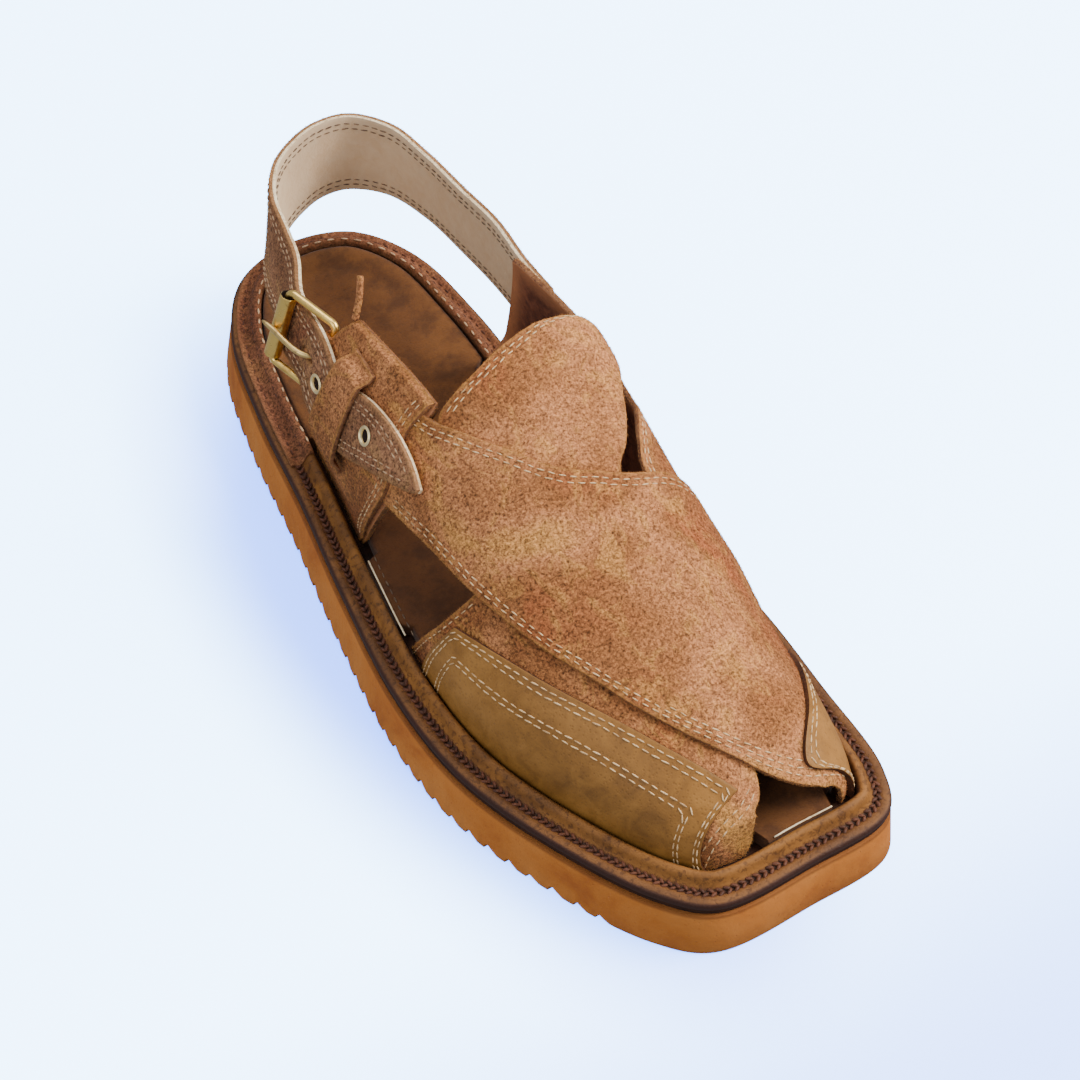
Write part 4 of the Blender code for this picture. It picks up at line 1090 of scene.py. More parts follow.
class Recipe:
    """Geometry Nodes tree written in code, with named inputs."""

    def __init__(self, name: str, inputs: Sequence[tuple[str, str]]) -> None:
        """Start a tree.

        Args:
            name: the tree's name.
            inputs: name and socket kind of each input after the geometry.
        """
        self.group = bpy.data.node_groups.new(name, "GeometryNodeTree")
        self.group.is_modifier = True
        face = self.group.interface
        face.new_socket("Geometry", in_out="INPUT", socket_type="NodeSocketGeometry")
        self.sockets = {label: face.new_socket(label, in_out="INPUT", socket_type=kind).identifier
                        for label, kind in inputs}
        face.new_socket("Geometry", in_out="OUTPUT", socket_type="NodeSocketGeometry")
        self.start = self.group.nodes.new("NodeGroupInput")
        self.end = self.group.nodes.new("NodeGroupOutput")

    def given(self, label: str) -> bpy.types.NodeSocket:
        """Socket of one named input."""
        return self.start.outputs[label]

    def node(self, kind: str, settings: dict | None = None, feeds: dict | None = None,
             output: int | str = 0) -> bpy.types.NodeSocket:
        """Add one node.

        Args:
            kind: the node's type.
            settings: its own properties, set first.
            feeds: values or sockets for its inputs.
            output: the output socket to return.

        Returns:
            The chosen output socket.
        """
        made = self.group.nodes.new(kind)
        for key, value in (settings or {}).items():
            setattr(made, key, value)
        for key, value in (feeds or {}).items():
            if isinstance(value, bpy.types.NodeSocket):
                self.group.links.new(value, made.inputs[key])
            else:
                made.inputs[key].default_value = value
        return made.outputs[output]

    def close(self, geometry: bpy.types.NodeSocket) -> None:
        """Realize, smooth and colour the result, and give it out."""
        real = self.node("GeometryNodeRealizeInstances", {}, {0: geometry})
        smooth = self.node("GeometryNodeSetShadeSmooth", {}, {0: real})
        dressed = self.node("GeometryNodeSetMaterial", {}, {"Geometry": smooth,
                                                            "Material": self.given("Material")})
        self.group.links.new(dressed, self.end.inputs[0])

    def run(self, obj: bpy.types.Object, **values: float | bpy.types.Material) -> bpy.types.Object:
        """Put the tree on an object with values for its inputs and keep the resulting mesh."""
        modifier = obj.modifiers.new(self.group.name, "NODES")
        modifier.node_group = self.group
        for label, value in values.items():
            modifier[self.sockets[label]] = value
        return settle(obj)


@dataclass(frozen=True)
class Stitch:
    """Size of one kind of stitch."""

    pitch: float
    length: float
    thickness: float
    lift: float = 0.00008
    slant: float = 0.0


OVERLAY_STITCH = Stitch(0.0030, 0.0026, 0.00046)
SUEDE_STITCH = Stitch(0.0031, 0.0023, 0.00044, 0.00006)
RAND_STITCH = Stitch(0.0036, 0.0020, 0.00060)
SCALLOP_STITCH = Stitch(0.0044, 0.0026, 0.00065)
WELT_STITCH = Stitch(0.0023, 0.0026, 0.00115, 0.0001, math.radians(38))
LINING_STITCH = Stitch(0.0030, 0.0023, 0.00046)


class Needle:
    """Sews stitches along lines, with one Geometry Nodes tree."""

    def __init__(self) -> None:
        """Write the tree: a thread's bead at every pitch, laid along the line."""
        self.recipe = Recipe("stitches", (("Pitch", "NodeSocketFloat"), ("Length", "NodeSocketFloat"),
                                          ("Thickness", "NodeSocketFloat"), ("Slant", "NodeSocketFloat"),
                                          ("Seed", "NodeSocketInt"), ("Material", "NodeSocketMaterial")))
        r = self.recipe
        line = r.node("GeometryNodeMeshToCurve", {}, {"Mesh": r.start.outputs["Geometry"]})
        points = r.node("GeometryNodeResampleCurve", {"mode": "LENGTH"},
                        {"Curve": line, "Length": r.given("Pitch")})
        up = r.node("GeometryNodeInputNamedAttribute", {"data_type": "FLOAT_VECTOR"}, {"Name": "up"})
        tangent = r.node("GeometryNodeInputTangent")
        turn = r.node("FunctionNodeAxesToRotation", {"primary_axis": "Z", "secondary_axis": "X"},
                      {"Primary Axis": up, "Secondary Axis": tangent})
        wobble = r.node("FunctionNodeRandomValue", {"data_type": "FLOAT"},
                        {2: -0.10, 3: 0.10, "Seed": r.given("Seed")}, 1)
        angle = r.node("ShaderNodeMath", {"operation": "ADD"}, {0: wobble, 1: r.given("Slant")})
        spin = r.node("ShaderNodeCombineXYZ", {}, {"Z": angle})
        turned_by = r.node("FunctionNodeEulerToRotation", {}, {0: spin})
        rotation = r.node("FunctionNodeRotateRotation", {"rotation_space": "LOCAL"},
                          {0: turn, 1: turned_by})
        size = r.node("ShaderNodeCombineXYZ", {}, {"X": r.given("Length"), "Y": r.given("Thickness"),
                                                   "Z": r.given("Thickness")})
        even = r.node("FunctionNodeRandomValue", {"data_type": "FLOAT"},
                      {2: 0.88, 3: 1.10, "Seed": r.given("Seed")}, 1)
        scaled = r.node("ShaderNodeVectorMath", {"operation": "SCALE"}, {0: size, "Scale": even})
        bead = r.node("GeometryNodeMeshUVSphere", {}, {"Segments": 8, "Rings": 5, "Radius": 0.5})
        sewn = r.node("GeometryNodeInstanceOnPoints", {}, {"Points": points, "Instance": bead,
                                                          "Rotation": rotation, "Scale": scaled})
        r.close(sewn)

    def sew(self, name: str, lines: Sequence[tuple[Array, Array]], stitch: Stitch,
            material: bpy.types.Material, slot: str = "thread", closed: bool = False) -> bpy.types.Object:
        """Sew along lines.

        Args:
            name: the piece's name.
            lines: points and the outward direction at each, for every line.
            stitch: the stitch.
            material: the thread's material.
            slot: handed on to finish_piece, which does not use it.
            closed: whether each line joins its own start.

        Returns:
            The stitches as one piece.
        """
        vertices, ups, edges = [], [], []
        for points, normals in lines:
            base, count = len(vertices), len(points)
            vertices += [tuple(map(float, v)) for v in points + normals * stitch.lift]
            ups += [tuple(map(float, v)) for v in normals]
            edges += [(base + k, base + k + 1) for k in range(count - 1)]
            if closed:
                edges.append((base + count - 1, base))
        mesh = bpy.data.meshes.new(name)
        mesh.from_pydata(vertices, edges, [])
        attribute = mesh.attributes.new("up", "FLOAT_VECTOR", "POINT")
        attribute.data.foreach_set("vector", np.array(ups, np.float32).ravel())
        obj = bpy.data.objects.new(name, mesh)
        bpy.context.scene.collection.objects.link(obj)
        self.recipe.run(obj, Pitch=stitch.pitch, Length=stitch.length, Thickness=stitch.thickness,
                        Slant=stitch.slant, Seed=len(name), Material=material)
        return finish_piece(obj, slot)


class Nap:
    """Short fibres standing on suede, with one Geometry Nodes tree."""

    def __init__(self) -> None:
        """Write the tree: a thin three-sided fibre at random places, leaning at random."""
        self.recipe = Recipe("nap_fibres", (("Density", "NodeSocketFloat"), ("Length", "NodeSocketFloat"),
                                            ("Width", "NodeSocketFloat"), ("Seed", "NodeSocketInt"),
                                            ("Material", "NodeSocketMaterial")))
        r = self.recipe
        share = r.node("GeometryNodeInputNamedAttribute", {"data_type": "FLOAT"}, {"Name": "nap"})
        density = r.node("ShaderNodeMath", {"operation": "MULTIPLY"}, {0: share, 1: r.given("Density")})
        points = self.scatter(density)
        lean = r.node("FunctionNodeRandomValue", {"data_type": "FLOAT"},
                      {2: 0.7, 3: 1.45, "Seed": r.given("Seed")}, 1)
        around = r.node("FunctionNodeRandomValue", {"data_type": "FLOAT"},
                        {2: 0.0, 3: 2 * math.pi, "Seed": r.given("Seed")}, 1)
        spin = r.node("FunctionNodeEulerToRotation", {}, {0: r.node("ShaderNodeCombineXYZ", {}, {"Z": around})})
        tilt = r.node("FunctionNodeEulerToRotation", {}, {0: r.node("ShaderNodeCombineXYZ", {}, {"X": lean})})
        turned_by = r.node("FunctionNodeRotateRotation", {"rotation_space": "LOCAL"},
                           {0: points["Rotation"], 1: spin})
        rotation = r.node("FunctionNodeRotateRotation", {"rotation_space": "LOCAL"},
                          {0: turned_by, 1: tilt})
        length = r.node("FunctionNodeRandomValue", {"data_type": "FLOAT"},
                        {2: 0.5, 3: 1.2, "Seed": r.given("Seed")}, 1)
        reach = r.node("ShaderNodeMath", {"operation": "MULTIPLY"}, {0: length, 1: r.given("Length")})
        size = r.node("ShaderNodeCombineXYZ", {}, {"X": r.given("Width"), "Y": r.given("Width"), "Z": reach})
        hair = r.node("GeometryNodeMeshCone", {"fill_type": "NONE"},
                      {"Vertices": 3, "Radius Top": 0.0, "Radius Bottom": 0.5, "Depth": 1.0})
        grown = r.node("GeometryNodeInstanceOnPoints", {}, {"Points": points["Points"], "Instance": hair,
                                                           "Rotation": rotation, "Scale": size})
        r.close(grown)

    def scatter(self, density: bpy.types.NodeSocket) -> bpy.types.NodeOutputs:
        """Random places on the faces, as the outputs of the node that scatters them."""
        r = self.recipe
        made = r.group.nodes.new("GeometryNodeDistributePointsOnFaces")
        made.distribute_method = "RANDOM"
        r.group.links.new(r.start.outputs["Geometry"], made.inputs["Mesh"])
        r.group.links.new(density, made.inputs["Density"])
        r.group.links.new(r.given("Seed"), made.inputs["Seed"])
        return made.outputs

    def grow(self, base: bpy.types.Object, density: float, length: float, width: float,
             material: bpy.types.Material) -> bpy.types.Object:
        """Fibres on a piece, as a piece of their own.

        Args:
            base: the suede piece, which carries the attribute nap.
            density: fibres in a square metre.
            length, width: size of a fibre.
            material: the suede.

        Returns:
            The fibres.
        """
        name = base.name + "_nap"
        obj = bpy.data.objects.new(name, base.data.copy())
        obj.data.name = name
        bpy.context.scene.collection.objects.link(obj)
        self.recipe.run(obj, Density=density, Length=length, Width=width, Seed=len(name),
                        Material=material)
        return finish_piece(obj, "suede")


@dataclass
class Sole:
    """Outsole, midsole, welt, heel rand and footbed."""

    shoe: Shoe
    wardrobe: Wardrobe
    flare: float = 0.002
    rounding: float = 0.0007
    groove_pitch: float = 0.0072
    groove_width: float = 0.0060
    groove_depth: float = 0.0026
    plain_toe: float = 0.020
    midsole_inset: float = 0.0008
    rand_thickness: float = 0.0014
    rand_end: float = 0.305
    scallop_pitch: float = 0.0044
    scallop_depth: float = 0.0010
    footbed_rise: float = 0.0046
    footbed_lip: float = 0.0012
    footbed_dish: float = 0.010
    toe_corner_room: float = 0.0028
    seed: int = 11

    def build(self) -> None:
        """Make every piece of the sole."""
        self.build_outsole()
        self.build_midsole()
        self.build_welt()
        self.build_heel_rand()
        self.build_footbed()
        self.sew_welt()
        self.sew_heel_rand()
        self.sew_footbed()

    def build_outsole(self) -> None:
        """Flared rubber with rounded rims and worn transverse grooves underneath."""
        shoe, r = self.shoe, self.rounding
        rows = ((-self.flare + r, 0.0), (-self.flare + 0.3 * r, 0.3 * r), (-self.flare, r),
                (-self.flare * 0.5, shoe.outsole * 0.5), (0.0, shoe.outsole - r),
                (0.3 * r, shoe.outsole - 0.3 * r), (r, shoe.outsole))
        sole = swept("rubber_sole", [shoe.ring(inset, height) for inset, height in rows],
                     self.wardrobe.rubber)
        cutter = self.groove_cutter()
        cut = sole.modifiers.new("grooves", "BOOLEAN")
        cut.operation = "DIFFERENCE"
        cut.object = cutter
        cut.solver = "EXACT"
        settle(sole)
        bpy.data.objects.remove(cutter)
        add_values(sole, "edge", np.ones(len(sole.data.vertices)))
        finish_piece(sharpen(sole, 40), "sole_rubber", "outsole")

    def groove_cutter(self) -> bpy.types.Object:
        """Ridges with rounded crests that cut the grooves."""
        generator = np.random.default_rng(self.seed)
        heel, toe = self.shoe.loop[:, 1].max(), self.shoe.loop[:, 1].min()
        count = int((heel - toe - self.plain_toe) / self.groove_pitch)
        vertices, faces = [], []
        for k in range(count):
            y = heel - (k + 0.5) * self.groove_pitch + generator.uniform(-0.0003, 0.0003)
            deep = self.groove_depth * generator.uniform(0.85, 1.1)
            half = self.groove_width / 2 * generator.uniform(0.9, 1.08)
            ridge = [(y + half * across, deep * up) for across, up in TOOTH]
            ridge += [(y - half, -deep), (y + half, -deep)]
            base, n = len(vertices), len(ridge)
            for x in (-self.shoe.ball_width, self.shoe.ball_width):
                vertices += [(x, py, pz) for py, pz in ridge]
            faces += [(base + i, base + (i + 1) % n, base + n + (i + 1) % n, base + n + i)
                      for i in range(n)]
            faces += [tuple(base + i for i in range(n)), tuple(base + n + i for i in range(n))]
        return outward(plain_mesh("groove_cutter", np.array(vertices), faces))

    def build_midsole(self) -> None:
        """Thin dark board between rubber and welt."""
        shoe, inset = self.shoe, self.midsole_inset
        low, high, r = shoe.outsole + shoe.clearance, shoe.midsole_top, 0.0004
        rows = ((inset + r, low), (inset, low + r), (inset, high - r), (inset + r, high))
        board = swept("midsole_edge", [shoe.ring(*row) for row in rows], self.wardrobe.board)
        finish_piece(sharpen(board, 50), "midsole_board", "midsole")

    def welt_profile(self) -> Array:
        """Section of the welt as (inset, height): outer bead, stitch channel, inner bead."""
        base, h = self.shoe.base, self.shoe.bead
        outer, w = self.shoe.welt_inset, self.shoe.welt_width
        return np.array((
            (outer, base), (outer, base + 0.5 * h), (outer + 0.03 * w, base + 0.85 * h),
            (outer + 0.12 * w, base + 1.06 * h), (outer + 0.24 * w, base + 1.08 * h),
            (outer + 0.34 * w, base + 0.86 * h), (outer + 0.42 * w, base + 0.70 * h),
            (outer + 0.52 * w, base + 0.86 * h), (outer + 0.62 * w, base + 1.40 * h),
            (outer + 0.70 * w, base + 2.15 * h), (outer + 0.79 * w, base + 2.50 * h),
            (outer + 0.89 * w, base + 2.52 * h), (outer + 0.97 * w, base + 2.15 * h),
            (outer + w, base + 1.4 * h), (outer + w, base),
        ))

    def build_welt(self) -> None:
        """Welt swept round the sole, with its place across stored for the colours."""
        profile = resample(self.welt_profile(), 43)
        rings = [self.shoe.ring(inset, height) for inset, height in profile]
        welt = swept("welt_strip", rings, self.wardrobe.welt, closed=True)
        share = (profile[:, 0] - self.shoe.welt_inset) / self.shoe.welt_width
        rise = (profile[:, 1] - self.shoe.base) / self.shoe.bead
        share = np.where((share < 0.03) & (rise < 0.8), 0.0, np.clip(share, 0, 1))
        add_values(welt, "profile", np.repeat(share, len(self.shoe.loop)))
        finish_piece(sharpen(welt, 60), "welt_leather", "welt")

    def on_welt(self, share: Array | float, lift: Array | float) -> tuple[Array, Array]:
        """Closed line round the welt at a share of its top section.

        Args:
            share: place across the top, from 0 at the outer bead to 1 at the inner edge.
            lift: height over the welt.

        Returns:
            Points and the up direction at each.
        """
        top = self.welt_profile()[3:13]
        count = len(self.shoe.loop)
        place = np.broadcast_to(share, count) * (len(top) - 1)
        index = np.arange(len(top), dtype=float)
        section = smooth_table(place, np.column_stack((index, top)))
        outer = self.shoe.ring(self.shoe.welt_inset, 0.0)[:, :2]
        inner = self.shoe.ring(self.shoe.welt_inset + self.shoe.welt_width, 0.0)[:, :2]
        part = ((section[:, 0] - self.shoe.welt_inset) / self.shoe.welt_width)[:, None]
        flat = outer * (1 - part) + inner * part
        points = np.column_stack((flat, section[:, 1] + lift))
        return points, np.tile((0.0, 0.0, 1.0), (count, 1))

    def heel_run(self, end: float) -> Array:
        """Indexes of the outline's points round the heel, from the outer side to the inner."""
        keep = np.where(self.shoe.loop[:, 1] > self.shoe.along(end))[0]
        count = len(self.shoe.loop)
        inside = set(keep.tolist())
        first = next(k for k in keep if (k - 1) % count not in inside)
        return np.array([(first + k) % count for k in range(len(keep))])

    def build_heel_rand(self) -> None:
        """Suede strip over the welt round the heel, with a scalloped inner edge."""
        run = self.heel_run(self.rand_end)
        middle, _ = self.on_welt(0.8, 0.0)
        length = run_length(middle[run])
        wave = np.abs(np.sin(np.pi * length / self.scallop_pitch)) ** 0.6
        inner_share = 0.93 + 0.07 * wave
        columns = np.linspace(0, 1, 15)
        lift = self.shoe.clearance + self.rand_thickness
        ends = np.minimum(np.arange(len(run)), np.arange(len(run))[::-1])
        lift = self.shoe.clearance + self.rand_thickness * ramp(ends, -3, 4)
        outer, inner = [], []
        for column in columns:
            share = np.zeros(len(self.shoe.loop))
            rise = np.zeros(len(self.shoe.loop))
            share[run] = 0.06 + column * (inner_share - 0.06)
            rise[run] = lift
            outer.append(self.on_welt(share, rise)[0][run])
            inner.append(self.on_welt(share, self.shoe.clearance * 0.5)[0][run])
        rand = leather_slab("heel_rand_strip", np.array(outer), np.array(inner), 0.0003,
                            (self.wardrobe.rand_suede, self.wardrobe.rand_suede, self.wardrobe.rand_suede))
        finish_piece(rand, "suede", "heel_rand")

    def sew_welt(self) -> None:
        """Two slanted rows of dark thread braided in the welt's channel."""
        needle, thread = self.wardrobe.needle, self.wardrobe.welt_thread
        outer = self.on_welt(0.26, 0.0001)
        inner = self.on_welt(0.42, 0.0001)
        back = Stitch(WELT_STITCH.pitch, WELT_STITCH.length, WELT_STITCH.thickness, WELT_STITCH.lift,
                      -WELT_STITCH.slant)
        needle.sew("welt_braid_outer", [outer], WELT_STITCH, thread, closed=True)
        needle.sew("welt_braid_inner", [inner], back, thread, closed=True)

    def sew_heel_rand(self) -> None:
        """Two dark rows along the rand and cream stitches at its scallops."""
        run = self.heel_run(self.rand_end - 0.012)
        lift = self.shoe.clearance + self.rand_thickness
        rows = []
        for share in (0.30, 0.62):
            points, ups = self.on_welt(share, lift)
            rows.append((points[run], ups[run]))
        self.wardrobe.needle.sew("rand_stitches", rows, RAND_STITCH, self.wardrobe.welt_thread)
        points, ups = self.on_welt(0.90, lift + 0.0001)
        self.wardrobe.needle.sew("rand_scallop_stitches", [(points[run], ups[run])], SCALLOP_STITCH,
                                 self.wardrobe.suede_thread)

    def sew_footbed(self) -> None:
        """Cream raw edge and short stitches along the bare stretches of the footbed's rim."""
        shoe = self.shoe
        y = shoe.loop[:, 1]
        station = -(y + shoe.middle[1]) / shoe.length
        top = shoe.base + self.footbed_rise + self.footbed_lip * ramp(y, 0.0, y.max())
        window = (shoe.loop[:, 0] < 0) & (station > 0.452) & (station < 0.566)
        toe = (station > 0.9) & (shoe.loop[:, 0] > shoe.across(-0.01)) & (shoe.loop[:, 0] < shoe.across(0.18))
        edge = shoe.ring(shoe.slot_inset - shoe.slot + 0.0008, top + 0.0001)
        seam = shoe.ring(shoe.slot_inset - shoe.slot + 0.0030, top)
        upright = np.tile((0.0, 0.0, 1.0), (len(y), 1))
        strips = []
        for name, keep in (("window_raw_edge", window), ("toe_raw_edge", toe)):
            run = np.where(keep)[0]
            strips.append(swept(name, tube_rings(edge[run], 0.00026, 8), self.wardrobe.cream_edge))
        finish_piece(join(*strips), "lining_leather", "footbed")
        line = [(seam[window], upright[window])]
        self.wardrobe.needle.sew("footbed_stitches", line, SUEDE_STITCH, self.wardrobe.lining_thread)

    def strap_share(self) -> Array:
        """1 where straps go down past the footbed, 0 where none does."""
        shoe = self.shoe
        x = shoe.loop[:, 0]
        station = -(shoe.loop[:, 1] + shoe.middle[1]) / shoe.length
        share = np.zeros(len(x))
        gap = (shoe.across(-0.020), shoe.across(0.190))
        for outer, start, end in ((True, 0.286, 0.452), (True, 0.545, 1.1), (False, 0.287, 1.1)):
            side = (x < (gap[0] if end > 0.9 else 0.0)) if outer else (x > (gap[1] if end > 0.9 else 0.0))
            share = np.maximum(share, np.where(side & (station > start) & (station < end), 1.0, 0.0))
        return share

    def footbed_rim(self, extra: float, height: Array) -> Array:
        """Ring of the footbed at a distance inside its edge."""
        shoe = self.shoe
        wide = shoe.slot_inset - shoe.slot + shoe.clearance
        narrow = shoe.slot_inset + shoe.wall + shoe.clearance
        y = shoe.loop[:, 1]
        share = self.strap_share()[:, None]
        corner = ramp(y, shoe.along(0.88), shoe.along(0.93))[:, None]
        beside = shoe.ring(narrow + extra, height)
        at_corners = shoe.ring(narrow + self.toe_corner_room + extra, height)
        full = shoe.ring(wide + extra, height)
        return share * (corner * at_corners + (1 - corner) * beside) + (1 - share) * full

    def build_footbed(self) -> None:
        """Dished footbed with a rounded rim and a soft hollow under the foot."""
        shoe = self.shoe
        top = shoe.base + self.footbed_rise
        y = shoe.loop[:, 1]
        lip = top + self.footbed_lip * ramp(y, 0.0, y.max())
        dish = top - 0.4 * self.footbed_lip
        rows = [(0.0, shoe.base + 0 * lip, 0.0), (0.0, lip - 0.0009, 0.0)]
        rows += [(0.00025, lip - 0.0004, 0.0004), (0.0008, lip, 0.001)]
        for k in range(1, 9):
            share = k / 8
            extra = 0.0008 + share * (self.footbed_dish - 0.0008)
            rows.append((extra, lip + (dish - lip) * ramp(share, 0, 1), extra))
        rings = [self.footbed_rim(extra, height) for extra, height, _ in rows]
        edges = [np.full(len(y), distance) for _, _, distance in rows]
        last = rings[-1]
        inner_x, outer_x, _ = shoe.slot_sides(last[:, 1])
        axis = 0.5 * (inner_x + outer_x)
        for share in (0.12, 0.28, 0.46, 0.64, 0.80, 0.92):
            ring = last.copy()
            ring[:, 0] += (axis - last[:, 0]) * share
            ring[:, 1] *= 1 - 0.16 * share
            rings.append(ring)
            edges.append(np.full(len(y), 0.02))
        bed = swept("footbed_pad", rings, self.wardrobe.nubuck)
        add_values(bed, "edge", np.concatenate(edges))
        finish_piece(sharpen(bed, 50), "footbed_nubuck", "footbed")


def outward(obj: bpy.types.Object) -> bpy.types.Object:
    """Merge doubled points and turn every face out."""
    work = bmesh.new()
    work.from_mesh(obj.data)
    bmesh.ops.remove_doubles(work, verts=work.verts, dist=1e-7)
    bmesh.ops.recalc_face_normals(work, faces=work.faces)
    work.to_mesh(obj.data)
    work.free()
    return obj


@dataclass
class Upper:
    """The crossed straps, the two quarters and the overlays."""

    shoe: Shoe
    wardrobe: Wardrobe
    tongue_lift: float = 0.0016
    rolled: float = 0.14
    overlay_gap: float = 0.0003
    overlay_thickness: float = 0.0012
    bevel: float = 0.0004
    nap_density: float = 1.6e6
    under_strap: Panel = field(init=False)
    top_strap: Panel = field(init=False)
    outer_quarter: Panel = field(init=False)
    inner_quarter: Panel = field(init=False)
    outer_overlay: Panel = field(init=False)
    inner_overlay: Panel = field(init=False)

    def __post_init__(self) -> None:
        """Lay the panels out on the last."""
        shoe = self.shoe
        skin = self.overlay_gap + self.overlay_thickness
        thin = self.overlay_thickness
        self.under_strap = Panel(shoe, UNDER_STRAP, self.under_strap_lift, shoe.wall)
        self.top_strap = Panel(shoe, TOP_STRAP, self.top_strap_lift, shoe.wall)
        self.outer_quarter = Panel(shoe, OUTER_QUARTER, self.quarter_lift, shoe.wall)
        self.inner_quarter = Panel(shoe, INNER_QUARTER, self.level_lift, shoe.wall)
        self.outer_overlay = Panel(shoe, OUTER_OVERLAY, lambda s, g, d, w: 0 * s + skin, thin)
        self.inner_overlay = Panel(shoe, INNER_OVERLAY, self.inner_overlay_lift, thin)

    def level_lift(self, station: Array, girth: Array, down: Array, share: Array) -> Array:
        """Flat on the last."""
        return 0.0 * station

    def under_strap_lift(self, station: Array, girth: Array, down: Array, share: Array) -> Array:
        """Tongue raised towards its tip, with soft creases."""
        rise = self.tongue_lift * ramp(down, 0.68, 0.95)
        return rise + creased(TONGUE_CREASES, station, girth) * ramp(down, 0.6, 0.72)

    def crossing_lift(self, station: Array, girth: Array) -> Array:
        """Top strap raised where it crosses another layer."""
        over_under_strap = ramp(girth, 0.22, 0.40)
        over_quarter = ramp(station, 0.79, 0.71)
        return self.shoe.layer * np.maximum(over_under_strap, over_quarter)

    def top_strap_lift(self, station: Array, girth: Array, down: Array, share: Array) -> Array:
        """Crossing lift with soft creases."""
        return self.crossing_lift(station, girth) + creased(TOP_CREASES, station, girth)

    def inner_overlay_lift(self, station: Array, girth: Array, down: Array, share: Array) -> Array:
        """Just over the top strap."""
        return (self.crossing_lift(station, girth) + creased(TOP_CREASES, station, girth)
                + self.overlay_gap + self.overlay_thickness)

    def quarter_lift(self, station: Array, girth: Array, down: Array, share: Array) -> Array:
        """Puffed fold of the outer quarter."""
        folded = ramp(down, 0.0, self.rolled) * (1 - ramp(down, 0.62, 0.95))
        rolled = 0.5 * self.shoe.fold * (1 - ramp(down, 0.0, self.rolled))
        return rolled + self.shoe.fold * folded

    def slab(self, name: str, panel: Panel, rows: int, columns: int, under: Array | None = None,
             dress: tuple | None = None, crowd: float = 1.0) -> bpy.types.Object:
        """Fine closed piece of one panel.

        Args:
            name: the piece's name.
            panel: the panel.
            rows, columns: how many points it has each way.
            under: height of the inner face over the last, or the panel's own wall.
            dress: materials of the faces, or the suede's.
            crowd: above 1 to draw the points towards the first edge.

        Returns:
            The piece.
        """
        down = np.linspace(0, 1, rows)[:, None] * np.ones((1, columns))
        share = (np.linspace(0, 1, columns) ** crowd)[None, :] * np.ones((rows, 1))
        outer = panel.outer(down, share)
        if under is None:
            inner = panel.inner(down, share)
        else:
            inner = self.shoe.offset(*panel.place(down, share), under)
        return leather_slab(name, outer, inner, self.bevel, dress or self.wardrobe.panel())

    def build(self) -> None:
        """Make every panel, its nap and its seams."""
        shoe = self.shoe
        down = np.linspace(0, 1, 80)[:, None] * np.ones((1, 60))
        under = 0.5 * shoe.fold * (1 - ramp(down, 0.0, self.rolled)) - shoe.wall
        split = self.quarter_lift(down, down, down, down) * 0.42 - 0.0004
        panels = (
            self.slab("under_strap_panel", self.under_strap, 170, 48, crowd=1.5),
            self.slab("top_strap_panel", self.top_strap, 150, 40),
            self.slab("outer_quarter_panel", self.outer_quarter, 80, 60, split),
            self.quarter_layer(down, split - 0.0003, under),
            self.slab("inner_quarter_panel", self.inner_quarter, 110, 34),
        )
        for panel in panels:
            finish_piece(panel, "suede", "upper")
            self.wardrobe.nap.grow(panel, self.nap_density, 0.0010, 0.00014, self.wardrobe.suede)
        dress = (self.wardrobe.overlay, self.wardrobe.inside, self.wardrobe.dark_edge)
        outer = self.slab("outer_overlay_leather", self.outer_overlay, 110, 36,
                          np.full((110, 36), self.overlay_gap), dress)
        finish_piece(outer, "smooth_leather", "overlay_outer")
        inner = self.slab("inner_overlay_leather", self.inner_overlay, 60, 40, None, dress)
        finish_piece(inner, "smooth_leather", "overlay_inner")
        self.sew()

    def quarter_layer(self, down: Array, high: Array, low: Array) -> bpy.types.Object:
        """Folded-under layer of the outer quarter, a little ahead of its front edge."""
        share = np.linspace(0, 1, down.shape[1])[None, :] * np.ones_like(down)
        station, girth = self.outer_quarter.place(down, share)
        station = station + 0.0042 * ramp(share, 0.4, 0.0) * ramp(down, 0.02, 0.2)
        dress = (self.wardrobe.inside, self.wardrobe.inside, self.wardrobe.raw_edge)
        return leather_slab("outer_quarter_layer", self.shoe.offset(station, girth, high),
                            self.shoe.offset(station, girth, low), 0.0003, dress)

    def sew(self) -> None:
        """Seams of the panels and the stitched frames of the overlays."""
        cream = self.wardrobe.cream_thread
        under, top, quarter = self.under_strap, self.top_strap, self.outer_quarter
        rows = [under.row(Edge.FIRST, gap, 0.0, 0.24) for gap in (0.0020, 0.0038)]
        rows += [under.row(Edge.SECOND, 0.0020, 0.0, 0.20)]
        rows += [under.row(Edge.SECOND, gap, 0.60, 0.985) for gap in (0.0022, 0.0040)]
        self.wardrobe.needle.sew("under_strap_stitches", rows, SUEDE_STITCH, cream)
        rows = [top.row(Edge.SECOND, gap, 0.06, 0.97) for gap in (0.0022, 0.0040)]
        rows += [top.row(Edge.FIRST, gap, 0.10, 0.97) for gap in (0.0022, 0.0040)]
        rows += [top.row(Edge.FIRST, 0.0058, 0.55, 0.97)]
        self.wardrobe.needle.sew("top_strap_stitches", rows, SUEDE_STITCH, cream)
        rows = [quarter.row(Edge.FIRST, gap, 0.20, 0.90) for gap in (0.0022, 0.0040)]
        rows += [self.inner_quarter.row(Edge.FIRST, gap, 0.02, 0.98) for gap in (0.0022, 0.0040)]
        self.wardrobe.needle.sew("quarter_stitches", rows, SUEDE_STITCH, cream)
        outer, inner = self.outer_overlay, self.inner_overlay
        frames = [outer.frame_line(gap, gap, gap) for gap in (0.0018, 0.0036)]
        frames += [outer.frame_line(0.0093 + gap, 0.0105 + gap, 0.0120 + gap) for gap in (0.0, 0.0018)]
        frames += [inner.frame_line(gap, gap, gap) for gap in (0.0018, 0.0036)]
